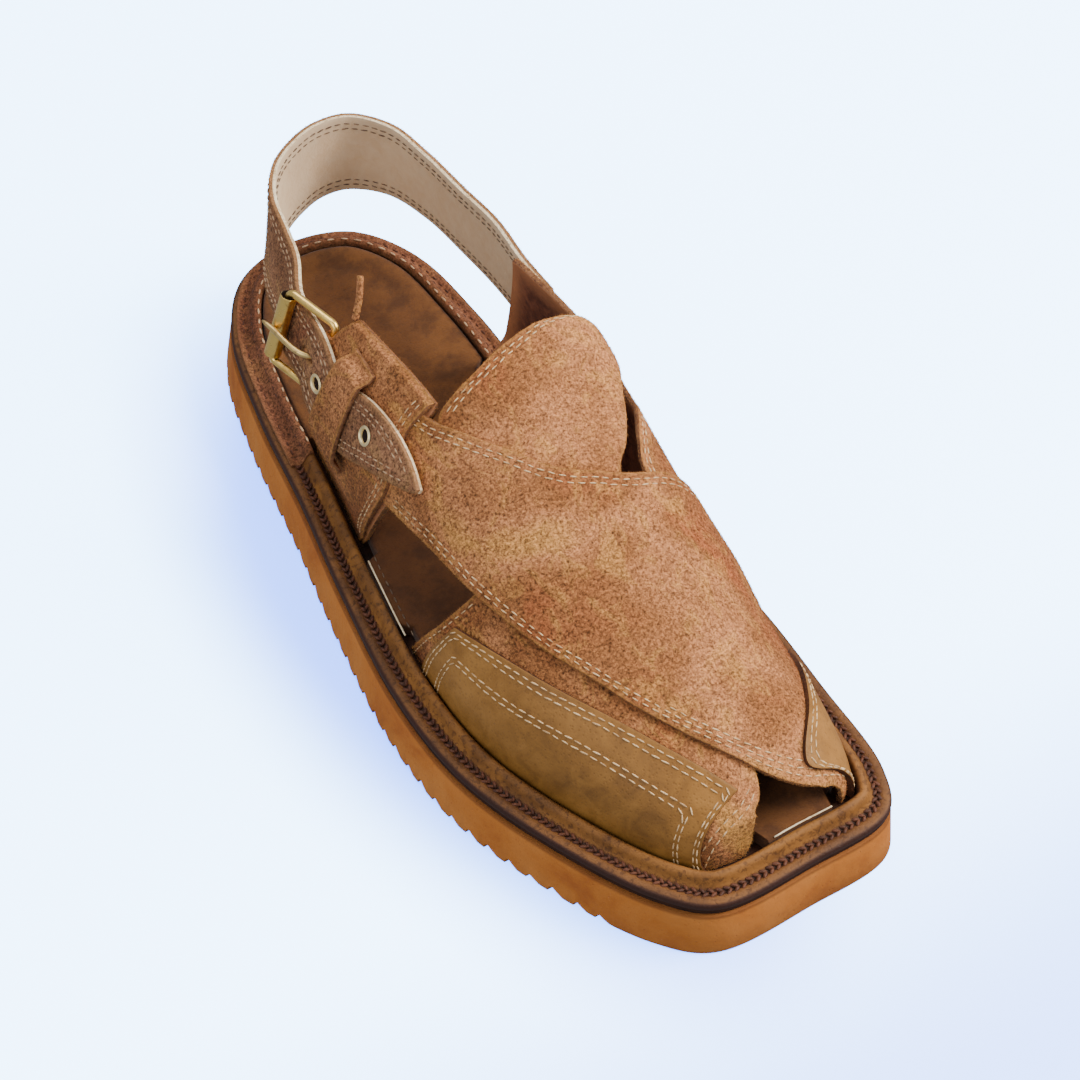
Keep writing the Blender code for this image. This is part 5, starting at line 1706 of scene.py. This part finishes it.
        self.wardrobe.needle.sew("overlay_stitches", frames, OVERLAY_STITCH, cream)


@dataclass(frozen=True)
class BuckleSeat:
    """Place and axes of the buckle: its bar's middle, then up, rear and out."""

    bar: Array
    up: Array
    rear: Array
    out: Array

    def at(self, rear: float, up: float, out: float) -> Array:
        """Point at distances along the buckle's axes."""
        return self.bar + rear * self.rear + up * self.up + out * self.out


@dataclass
class Buckle:
    """Brass frame, thin-walled roller and prong, with the quarter's loops round the bar."""

    shoe: Shoe
    wardrobe: Wardrobe
    station: float = 0.315
    girth: float = 0.815
    turn: float = math.radians(24)
    reach: float = 0.019
    rod: float = 0.00125
    roller: float = 0.0026
    roller_length: float = 0.0222
    roller_sides: int = 8
    roller_wall: float = 0.0004
    slack: float = 0.0013
    corner: float = 0.0022
    prong: float = 0.00085
    prong_eye: float = 0.00245
    chape: float = 0.0030
    chape_length: float = 0.0185
    chape_window: float = 0.0042
    seat: BuckleSeat = field(init=False)

    def __post_init__(self) -> None:
        """Find the buckle's place on the outer quarter."""
        shoe = self.shoe
        point, out, girthwise = shoe.frame(self.station, self.girth)
        up = -girthwise
        rear = np.cross(up, out)
        if rear[1] < 0:
            rear = -rear
        c, s = math.cos(self.turn), math.sin(self.turn)
        bar = point + 0.5 * (shoe.fold - shoe.wall) * out
        self.seat = BuckleSeat(bar, up, c * rear + s * out, c * out - s * rear)

    def build(self) -> None:
        """Make the metal parts and the loops."""
        self.build_frame()
        self.build_roller()
        self.build_prong()
        self.build_chape()

    def build_frame(self) -> None:
        """Round wire bent to a rectangle."""
        half = self.roller_length / 2 + self.shoe.clearance + self.rod
        path = []
        corners = ((self.reach, half, 0), (0, half, 90), (0, -half, 180), (self.reach, -half, 270))
        for rear, up, start in corners:
            middle_rear = rear - self.corner if rear > 0 else rear + self.corner
            middle_up = up - self.corner if up > 0 else up + self.corner
            for step in range(9):
                angle = math.radians(start + 90 * step / 8)
                path.append(self.seat.at(middle_rear + self.corner * math.cos(angle),
                                         middle_up + self.corner * math.sin(angle), 0.0))
        wire = swept("buckle_wire", tube_rings(path, self.rod, 20, True), self.wardrobe.brass, True)
        finish_piece(wire, "brass", "buckle_frame")

    def build_roller(self) -> None:
        """Rolled sheet tube with soft flats and open ends."""
        end, bore = self.roller_length / 2, self.roller - self.roller_wall
        r = 0.00018
        profile = ((bore, -end), (self.roller - r, -end), (self.roller, -end + r), (self.roller, end - r),
                   (self.roller - r, end), (bore, end))
        sides = self.roller_sides * 4
        centre = self.seat.at(self.reach, 0.0, 0.0)
        rings = []
        for k in range(sides):
            angle = 2 * math.pi * k / sides
            flat = 1 + 0.030 * math.cos(self.roller_sides * angle)
            out = math.cos(angle) * self.seat.rear + math.sin(angle) * self.seat.out
            rings.append(np.array([centre + radius * flat * out + height * self.seat.up
                                   for radius, height in profile]))
        roller = outward(swept("buckle_tube", rings, self.wardrobe.brass, True))
        # The bore and the inner ends take the dark hollow material: painted shade inside the tube.
        roller.data.materials.append(self.wardrobe.hole)
        for face in roller.data.polygons:
            away = np.array(face.center) - centre
            off = np.linalg.norm(away - (away @ self.seat.up) * self.seat.up)
            face.material_index = int(off < 0.5 * (bore + self.roller))
        finish_piece(sharpen(roller, 35), "brass", "buckle_roller")

    def build_prong(self) -> None:
        """Prong with its eye round the bar, thinner at its tip."""
        eye = [self.seat.at(self.prong_eye * math.cos(a), 0.0, self.prong_eye * math.sin(a))
               for a in np.linspace(0, 2 * math.pi, 28, endpoint=False)]
        loop = swept("prong_eye", tube_rings(eye, self.prong, 12, True), self.wardrobe.dull_brass, True)
        rest = self.roller + self.shoe.clearance + self.prong
        route = ((0.0, self.prong_eye), (0.0026, self.prong_eye), (0.0045, 0.0038), (0.0066, 0.0049),
                 (0.0100, 0.0051), (0.0140, 0.0046), (self.reach, rest),
                 (self.reach + 0.0045, rest - 0.0003))
        table = resample(route, 48)
        radius = self.prong * (1.12 - 0.35 * ramp(table[:, 0], self.reach - 0.002, self.reach + 0.005))
        radius[-3:] *= (0.93, 0.75, 0.35)
        path = [self.seat.at(rear, 0.0, out) for rear, out in table]
        shaft = swept("buckle_tongue", tube_rings(path, radius, 14), self.wardrobe.dull_brass)
        finish_piece(join(shaft, loop), "brass", "buckle_prong")

    def build_chape(self) -> None:
        """Suede loops of the quarter round the bar, above and below the prong."""
        spans = ((self.chape_window / 2, self.chape_length / 2), (-self.chape_length / 2, -self.chape_window / 2))
        loops = [self.chape_loop(f"chape_{number}", start, end) for number, (start, end) in enumerate(spans, 1)]
        finish_piece(join(*loops), "suede", "upper")

    def chape_loop(self, name: str, start: float, end: float) -> bpy.types.Object:
        """One loop between two heights along the bar."""
        rows, columns = 40, 14
        bore = self.rod + 0.0002
        soft = 0.0004
        angles = np.linspace(0, 2 * math.pi, rows, endpoint=False)
        rings = []
        for angle in angles:
            out = math.cos(angle) * self.seat.rear + math.sin(angle) * self.seat.out
            ups = np.linspace(start, end, columns)
            edge = np.minimum(ups - start, end - ups)
            radius = self.chape - soft * (1 - ramp(edge, 0.0, 0.0012))
            outer = [self.seat.bar + r * out + u * self.seat.up for r, u in zip(radius, ups)]
            inner = [self.seat.bar + bore * out + u * self.seat.up for u in ups[::-1]]
            rings.append(np.array(outer + inner))
        loop = swept(name, rings, self.wardrobe.suede, True)
        outward(loop)
        add_values(loop, "edge", np.tile(np.concatenate((np.full(columns, 0.004), np.zeros(columns))), rows))
        add_values(loop, "nap", np.tile(np.concatenate((np.ones(columns), np.zeros(columns))), rows))
        return loop


def join(first: bpy.types.Object, *others: bpy.types.Object) -> bpy.types.Object:
    """Join objects into the first."""
    with bpy.context.temp_override(active_object=first, selected_editable_objects=[first, *others]):
        bpy.ops.object.join()
    return first


@dataclass
class HeelStrap:
    """Heel strap from the inner quarter round the heel, through the buckle to its pointed tip."""

    shoe: Shoe
    wardrobe: Wardrobe
    buckle: Buckle
    thickness: float = 0.0026
    width: float = 0.0290
    buckle_width: float = 0.0206
    skin: float = 0.54
    rows: int = 340
    columns: int = 19
    hole_place: float = 0.0044
    hole_size: tuple[float, float] = (0.0078, 0.0032)
    eyelet_radius: float = 0.0031
    eyelet_bore: float = 0.0020
    eyelet_barrel: float = 0.0023
    eyelet_flange: float = 0.0005
    nap_density: float = 1.6e6
    centre: Array = field(init=False, repr=False)
    way: Array = field(init=False, repr=False)
    out: Array = field(init=False, repr=False)
    size: Array = field(init=False, repr=False)

    def __post_init__(self) -> None:
        """Work out the strap's evenly spaced sections."""
        rows = self.sections()
        place = run_length(rows[:, :3])
        table = smooth_table(np.linspace(0, place[-1], self.rows), np.column_stack((place, rows)))
        step = unit(np.gradient(table[:, :3], axis=0))
        way = unit(table[:, 3:6] - step * (table[:, 3:6] * step).sum(1)[:, None])
        out = np.cross(step, way)
        middle = np.array([self.shoe.across(0.05), self.shoe.along(0.3), 0.0])
        if ((table[0, :3] - middle) * out[0]).sum() < 0:
            out = -out
        self.centre, self.way, self.out, self.size = table[:, :3], way, out, table[:, 6]

    def sections(self) -> Array:
        """Centre, width direction and width of the strap's sections, from seat to tip."""
        shoe, seat, buckle = self.shoe, self.buckle.seat, self.buckle
        rows = []
        extra = self.width - self.buckle_width
        half = self.thickness / 2
        for station, girth, share in STRAP_SEAT:
            point, normal, girthwise = shoe.frame(station, girth)
            centre = point + normal * (shoe.clearance + half)
            rows.append((*centre, *girthwise, self.buckle_width + share * extra))
        free = np.array([(shoe.across(x), shoe.along(s), z * shoe.collar_height)
                         for x, s, z, _, _ in HEEL_STRAP])
        step = np.gradient(free, axis=0)
        for point, direction, (_, _, _, lean, share) in zip(free, step, HEEL_STRAP):
            outward_way = unit(np.array([direction[1], -direction[0], 0.0]))
            angle = math.radians(lean)
            up = math.cos(angle) * np.array([0, 0, 1.0]) + math.sin(angle) * outward_way
            rows.append((*point, *up, self.buckle_width + share * extra))
        under = -(buckle.roller + buckle.slack + half)
        over = buckle.prong_eye + buckle.prong + shoe.clearance + half
        for rear, height in ((buckle.reach, under), (0.5 * buckle.reach, 0.5 * (under + over)), (0.0, over)):
            rows.append((*seat.at(rear, 0.0, height), *seat.up, self.buckle_width))
        for station, girth, share in STRAP_TONGUE:
            point, normal, girthwise = shoe.frame(station, girth)
            centre = point + normal * (shoe.fold + shoe.clearance + half)
            rows.append((*centre, *(-girthwise), self.buckle_width * share))
        return np.array(rows)

    def surface(self, distance: Array, side: float, above: float = 0.0) -> tuple[Array, Array]:
        """Points along the strap at a distance across from its middle.

        Args:
            distance: distance across at each section, positive towards the upper edge.
            side: 1 for the outer face and -1 for the inner one.
            above: height over that face.

        Returns:
            Points and the direction out of that face.
        """
        push = side * (self.thickness / 2 + above)
        points = self.centre + self.way * np.asarray(distance)[:, None] + self.out * push
        return points, side * self.out

    def build(self) -> None:
        """Make the strap with its holes and nap, the eyelets and the stitches."""
        shares = np.linspace(-0.5, 0.5, self.columns)
        bow = 1 - 0.22 * (2 * np.abs(shares))**6
        middle = self.centre[:, None] + self.way[:, None] * (self.size[:, None] * shares)[..., None]
        push = self.out[:, None] * (self.thickness / 2 * bow)[None, :, None]
        dress = (self.wardrobe.strap_suede, self.wardrobe.lining, self.wardrobe.cream_edge)
        strap = leather_slab("heel_strap_leather", middle + push, middle - push, 0.0003, dress, self.skin)
        seat = self.buckle.seat
        cutters = [self.slot_cutter(seat)]
        cutters += [self.hole_cutter(*self.eyelet_place(place)) for place in EYELETS]
        for cutter in cutters:
            cut = strap.modifiers.new("hole", "BOOLEAN")
            cut.operation = "DIFFERENCE"
            cut.object = cutter
            cut.solver = "EXACT"
        settle(strap)
        for cutter in cutters:
            bpy.data.objects.remove(cutter)
        finish_piece(strap, "suede", "heel_strap")
        self.wardrobe.nap.grow(strap, self.nap_density, 0.0009, 0.00014, self.wardrobe.strap_suede)
        for number, place in enumerate(EYELETS, 1):
            self.build_eyelet(number, *self.eyelet_place(place))
        self.sew()

    def sew(self) -> None:
        """Double rows along both edges, inside and out."""
        inside, outside = [], []
        for gap in (0.0024, 0.0043):
            for edge in (-1, 1):
                across = edge * np.maximum(self.size / 2 - gap, 0)
                keep = self.size > 2 * gap + 0.0036
                points, normals = self.surface(across, -1)
                inside.append((points[keep], normals[keep]))
                points, normals = self.surface(across, 1)
                outside.append((points[keep], normals[keep]))
        self.wardrobe.needle.sew("strap_lining_stitches", inside, LINING_STITCH, self.wardrobe.lining_thread)
        self.wardrobe.needle.sew("strap_stitches", outside, LINING_STITCH, self.wardrobe.suede_thread)

    def slot_cutter(self, seat: BuckleSeat) -> bpy.types.Object:
        """Long round-ended cutter of the prong's hole."""
        length, width = self.hole_size
        radius = width / 2
        ring = []
        for k in range(24):
            angle = 2 * math.pi * k / 24
            shift = (length / 2 - radius) * (1 if math.cos(angle) > 0 else -1)
            ring.append((shift + radius * math.cos(angle), radius * math.sin(angle)))
        rings = [np.array([seat.at(self.hole_place + rear, up, out) for rear, up in ring])
                 for out in (-0.002, 0.010)]
        return swept("prong_slot", rings, self.wardrobe.raw_edge)

    def hole_cutter(self, point: Array, normal: Array) -> bpy.types.Object:
        """Round cutter of one eyelet's hole."""
        radius = self.eyelet_barrel + self.shoe.clearance
        path = [point - normal * 0.006, point + normal * 0.006]
        return swept("eyelet_hole", tube_between(*path, radius, 24), self.wardrobe.raw_edge)

    def eyelet_place(self, place: tuple[float, float]) -> tuple[Array, Array]:
        """Point on the strap's outer face and its direction for an eyelet."""
        target = self.shoe.offset(*place, self.shoe.fold + self.shoe.clearance + self.thickness / 2)
        tail = len(self.centre) * 2 // 3
        nearest = tail + int(np.linalg.norm(self.centre[tail:] - target, axis=1).argmin())
        return self.centre[nearest] + self.out[nearest] * self.thickness / 2, self.out[nearest]

    def build_eyelet(self, number: int, point: Array, normal: Array) -> None:
        """Rolled brass ring with a barrel down through the strap."""
        depth, gap, flange = self.thickness * 0.8, self.shoe.clearance * 0.3, self.eyelet_flange
        bore, barrel, rim = self.eyelet_bore, self.eyelet_barrel, self.eyelet_radius
        profile = ((bore, -depth), (barrel, -depth), (barrel, gap), (rim - 0.0002, gap), (rim, gap + 0.0002),
                   (rim - 0.00015, gap + 0.6 * flange), (0.5 * (rim + bore), gap + 1.15 * flange),
                   (bore + 0.0002, gap + 0.8 * flange), (bore, gap + 0.3 * flange))
        side = unit(np.cross(normal, (0.0, 0.3, 1.0)))
        other = np.cross(normal, side)
        rings = []
        for k in range(40):
            angle = 2 * math.pi * k / 40
            away = math.cos(angle) * side + math.sin(angle) * other
            rings.append(np.array([point + r * away + h * normal for r, h in profile]))
        eyelet = outward(swept(f"eyelet_ring_{number}", rings, self.wardrobe.pale_brass, True))
        # Dark plug down the barrel: painted shade in the eyelet's hole.
        floor = [point - normal * depth, point - normal * 0.0003]
        plug = swept("eyelet_floor", tube_between(*floor, bore + 0.0001, 24), self.wardrobe.hole)
        finish_piece(sharpen(join(eyelet, plug), 60), "brass", f"eyelet_{number}")


def tube_between(start: Array, end: Array, radius: float, sides: int) -> list[Array]:
    """Two rings of a straight round tube."""
    axis = unit(end - start)
    side = unit(np.cross(axis, (0.0, 0.3, 1.0)))
    other = np.cross(axis, side)
    angles = 2 * np.pi * np.arange(sides) / sides
    ring = radius * (np.outer(np.cos(angles), side) + np.outer(np.sin(angles), other))
    return [start + ring, end + ring]


@dataclass
class Keeper:
    """Suede keeper bridged over the strap's tongue, and the thong's end in the fold."""

    shoe: Shoe
    wardrobe: Wardrobe
    strap: HeelStrap
    width: float = 0.0126
    flare: float = 0.0062
    thickness: float = 0.0014
    nap_density: float = 1.8e6
    thong_width: float = 0.0023
    thong_thickness: float = 0.0016
    thong_root: tuple[float, float] = (0.3385, 0.724)
    thong_bend: Table = ((0.0, 0.0, 0.0), (0.0028, 0.0022, 0.0055), (0.0051, 0.0052, 0.0106))

    def place(self, run: Array, span: Array) -> tuple[Array, Array]:
        """Station and girth over the keeper."""
        (top_station, top_girth), (low_station, low_girth) = KEEPER
        half = 0.5 * self.width / self.shoe.length
        station = top_station + (low_station - top_station) * run + span * half
        station = station + 0.5 * (1 + span) * run * self.flare / self.shoe.length
        girth = top_girth + (low_girth - top_girth) * run
        return station, girth

    def height(self, run: Array) -> Array:
        """Height of the keeper's under face over the last."""
        foot = self.shoe.fold + self.shoe.clearance
        rise = self.strap.thickness + 2 * self.shoe.clearance
        bridge = ramp(run, 0.04, 0.16) * ramp(run, 0.99, 0.84)
        return foot + rise * bridge

    def build(self) -> None:
        """Make the keeper and the thong."""
        run = np.linspace(0, 1, 70)[:, None] * np.ones((1, 22))
        span = np.linspace(-1, 1, 22)[None, :] * np.ones((70, 1))
        station, girth = self.place(run, span)
        low = self.height(run)
        fold = 0.00035 * np.exp(-((span + 0.35) / 0.16)**2)
        high = low + self.thickness - fold
        keeper = leather_slab("keeper_band", self.shoe.offset(station, girth, high),
                              self.shoe.offset(station, girth, low), 0.0003, self.wardrobe.panel())
        finish_piece(keeper, "suede", "keeper")
        self.wardrobe.nap.grow(keeper, self.nap_density, 0.0007, 0.00013, self.wardrobe.suede)
        self.build_thong()

    def build_thong(self) -> None:
        """Short flat thong end with rounded edges."""
        point, out, _ = self.shoe.frame(*self.thong_root)
        root = point + out * (0.5 * (self.shoe.fold + self.thong_thickness) + self.shoe.clearance)
        table = resample(root + np.array(self.thong_bend), 24)
        step = unit(np.gradient(table, axis=0))
        side = unit(np.cross(step, (1.0, 0.0, 0.0)))
        thick = np.cross(step, side)
        angles = 2 * np.pi * np.arange(16) / 16
        w = self.thong_width / 2 * np.sign(np.cos(angles)) * np.abs(np.cos(angles))**0.5
        t = self.thong_thickness / 2 * np.sign(np.sin(angles)) * np.abs(np.sin(angles))**0.5
        rings = [p + np.outer(w, s) + np.outer(t, n) for p, s, n in zip(table, side, thick)]
        thong = swept("thong_end", rings, self.wardrobe.suede)
        add_values(thong, "edge", np.full(len(thong.data.vertices), 0.003))
        finish_piece(outward(thong), "suede", "fold_thong")


@dataclass
class Studio:
    """Pale floor with a soft blue shade beside the shoe, soft light and the photograph's camera."""

    floor_colour: Colour = rgb(232, 241, 251)
    floor_glow: Colour = rgb(158, 208, 255)
    floor_shade: Colour = rgb(10, 88, 200)
    shade_size: tuple[float, float] = (0.075, 0.160)
    shade_shift: float = 0.012
    azimuth: float = math.radians(-36)
    elevation: float = math.radians(50)
    roll: float = math.radians(3.4)
    distance: float = 0.797
    target: tuple[float, float, float] = (0.01347, -0.00689, 0.020)
    lens: float = 88.0

    def build(self) -> None:
        """Set the stage."""
        self.build_floor()
        self.build_world()
        self.build_light("key", (0.95, -0.55, 1.05), 0.8, 36.0, (1.0, 0.96, 0.90))
        self.build_light("top", (0.1, 0.5, 1.3), 1.0, 10.0, (1.0, 0.99, 0.97))
        self.build_light("fill", (-1.0, -0.4, 0.9), 1.0, 8.0, (0.94, 0.97, 1.0))
        self.build_camera()

    def build_floor(self) -> None:
        """Large glowing floor under the sole, with a painted blue shadow round the shoe and ahead of its toe."""
        size = 3.0
        corners = np.array([(-size, -size, 0.0), (size, -size, 0.0), (size, size, 0.0), (-size, size, 0.0)])
        mesh = bpy.data.meshes.new("floor")
        mesh.from_pydata([tuple(c) for c in corners], [], [(0, 1, 2, 3)])
        floor = bpy.data.objects.new("floor", mesh)
        bpy.context.scene.collection.objects.link(floor)
        g = Graph("floor_paper")
        # Painted shadow in the floor's glow: bluer and dimmer round the shoe, reaching further on its outer side,
        # and ahead of its toe.
        across, along = self.shade_size
        oval = g.node("ShaderNodeMapping", {}, {"Vector": g.place, "Scale": (1 / across, 1 / along, 0.0),
                                                "Location": (self.shade_shift / across, 0.0, 0.0)})
        away = g.node("ShaderNodeVectorMath", {"operation": "LENGTH"}, {0: oval}, "Value")
        front = g.node("ShaderNodeSeparateXYZ", {}, {0: g.place}, 1)
        shade = away.ramp(1.15, 0.60) + front.ramp(-0.08, -0.22) * 0.85
        glow = g.mix(shade, self.floor_glow, self.floor_shade)
        mesh.materials.append(g.finish(self.floor_colour, 0.9, None, Specular_IOR_Level=0.1,
                                       Emission_Color=glow, Emission_Strength=9.0))
        floor.visible_diffuse = False
        floor.visible_glossy = False

    def build_world(self) -> None:
        """Even pale sky."""
        world = bpy.data.worlds.new("studio")
        world.use_nodes = True
        background = world.node_tree.nodes["Background"]
        background.inputs["Color"].default_value = (*rgb(228, 238, 252), 1.0)
        background.inputs["Strength"].default_value = 0.50
        bpy.context.scene.world = world

    def build_light(self, name: str, place: Sequence[float], size: float, power: float,
                    colour: Colour) -> None:
        """Square area light aimed at the shoe."""
        data = bpy.data.lights.new(name, "AREA")
        data.size = size
        data.energy = power
        data.color = colour
        lamp = bpy.data.objects.new(name, data)
        lamp.location = place
        lamp.rotation_euler = (Vector(place) - Vector(self.target)).to_track_quat("Z", "Y").to_euler()
        bpy.context.scene.collection.objects.link(lamp)

    def build_camera(self) -> None:
        """Camera at the photograph's viewing angle."""
        a, e, r = self.azimuth, self.elevation, self.roll
        back = Vector((math.sin(a) * math.cos(e), -math.cos(a) * math.cos(e), math.sin(e)))
        level = Vector((math.cos(a), math.sin(a), 0.0))
        upright = back.cross(level)
        right = math.cos(r) * level + math.sin(r) * upright
        up = back.cross(right)
        data = bpy.data.cameras.new("camera")
        data.lens = self.lens
        data.sensor_width = 36.0
        data.clip_start = 0.01
        camera = bpy.data.objects.new("camera", data)
        camera.matrix_world = Matrix.Translation(Vector(self.target) + back * self.distance) @ Matrix(
            (right, up, back)).transposed().to_4x4()
        bpy.context.scene.collection.objects.link(camera)
        bpy.context.scene.camera = camera


def span(bounds: tuple[Vector, Vector]) -> list[list[float]]:
    """Lowest and highest corner as plain numbers."""
    return [[float(v) for v in corner] for corner in bounds]


def main() -> None:
    """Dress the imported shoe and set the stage."""
    logging.basicConfig(level=logging.INFO, format="%(name)s %(message)s")
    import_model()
    Studio().build()
    shoe = Shoe()
    wardrobe = Wardrobe()
    Sole(shoe, wardrobe).build()
    Upper(shoe, wardrobe).build()
    buckle = Buckle(shoe, wardrobe)
    buckle.build()
    strap = HeelStrap(shoe, wardrobe, buckle)
    strap.build()
    Keeper(shoe, wardrobe, strap).build()


if __name__ == "__main__":
    main()
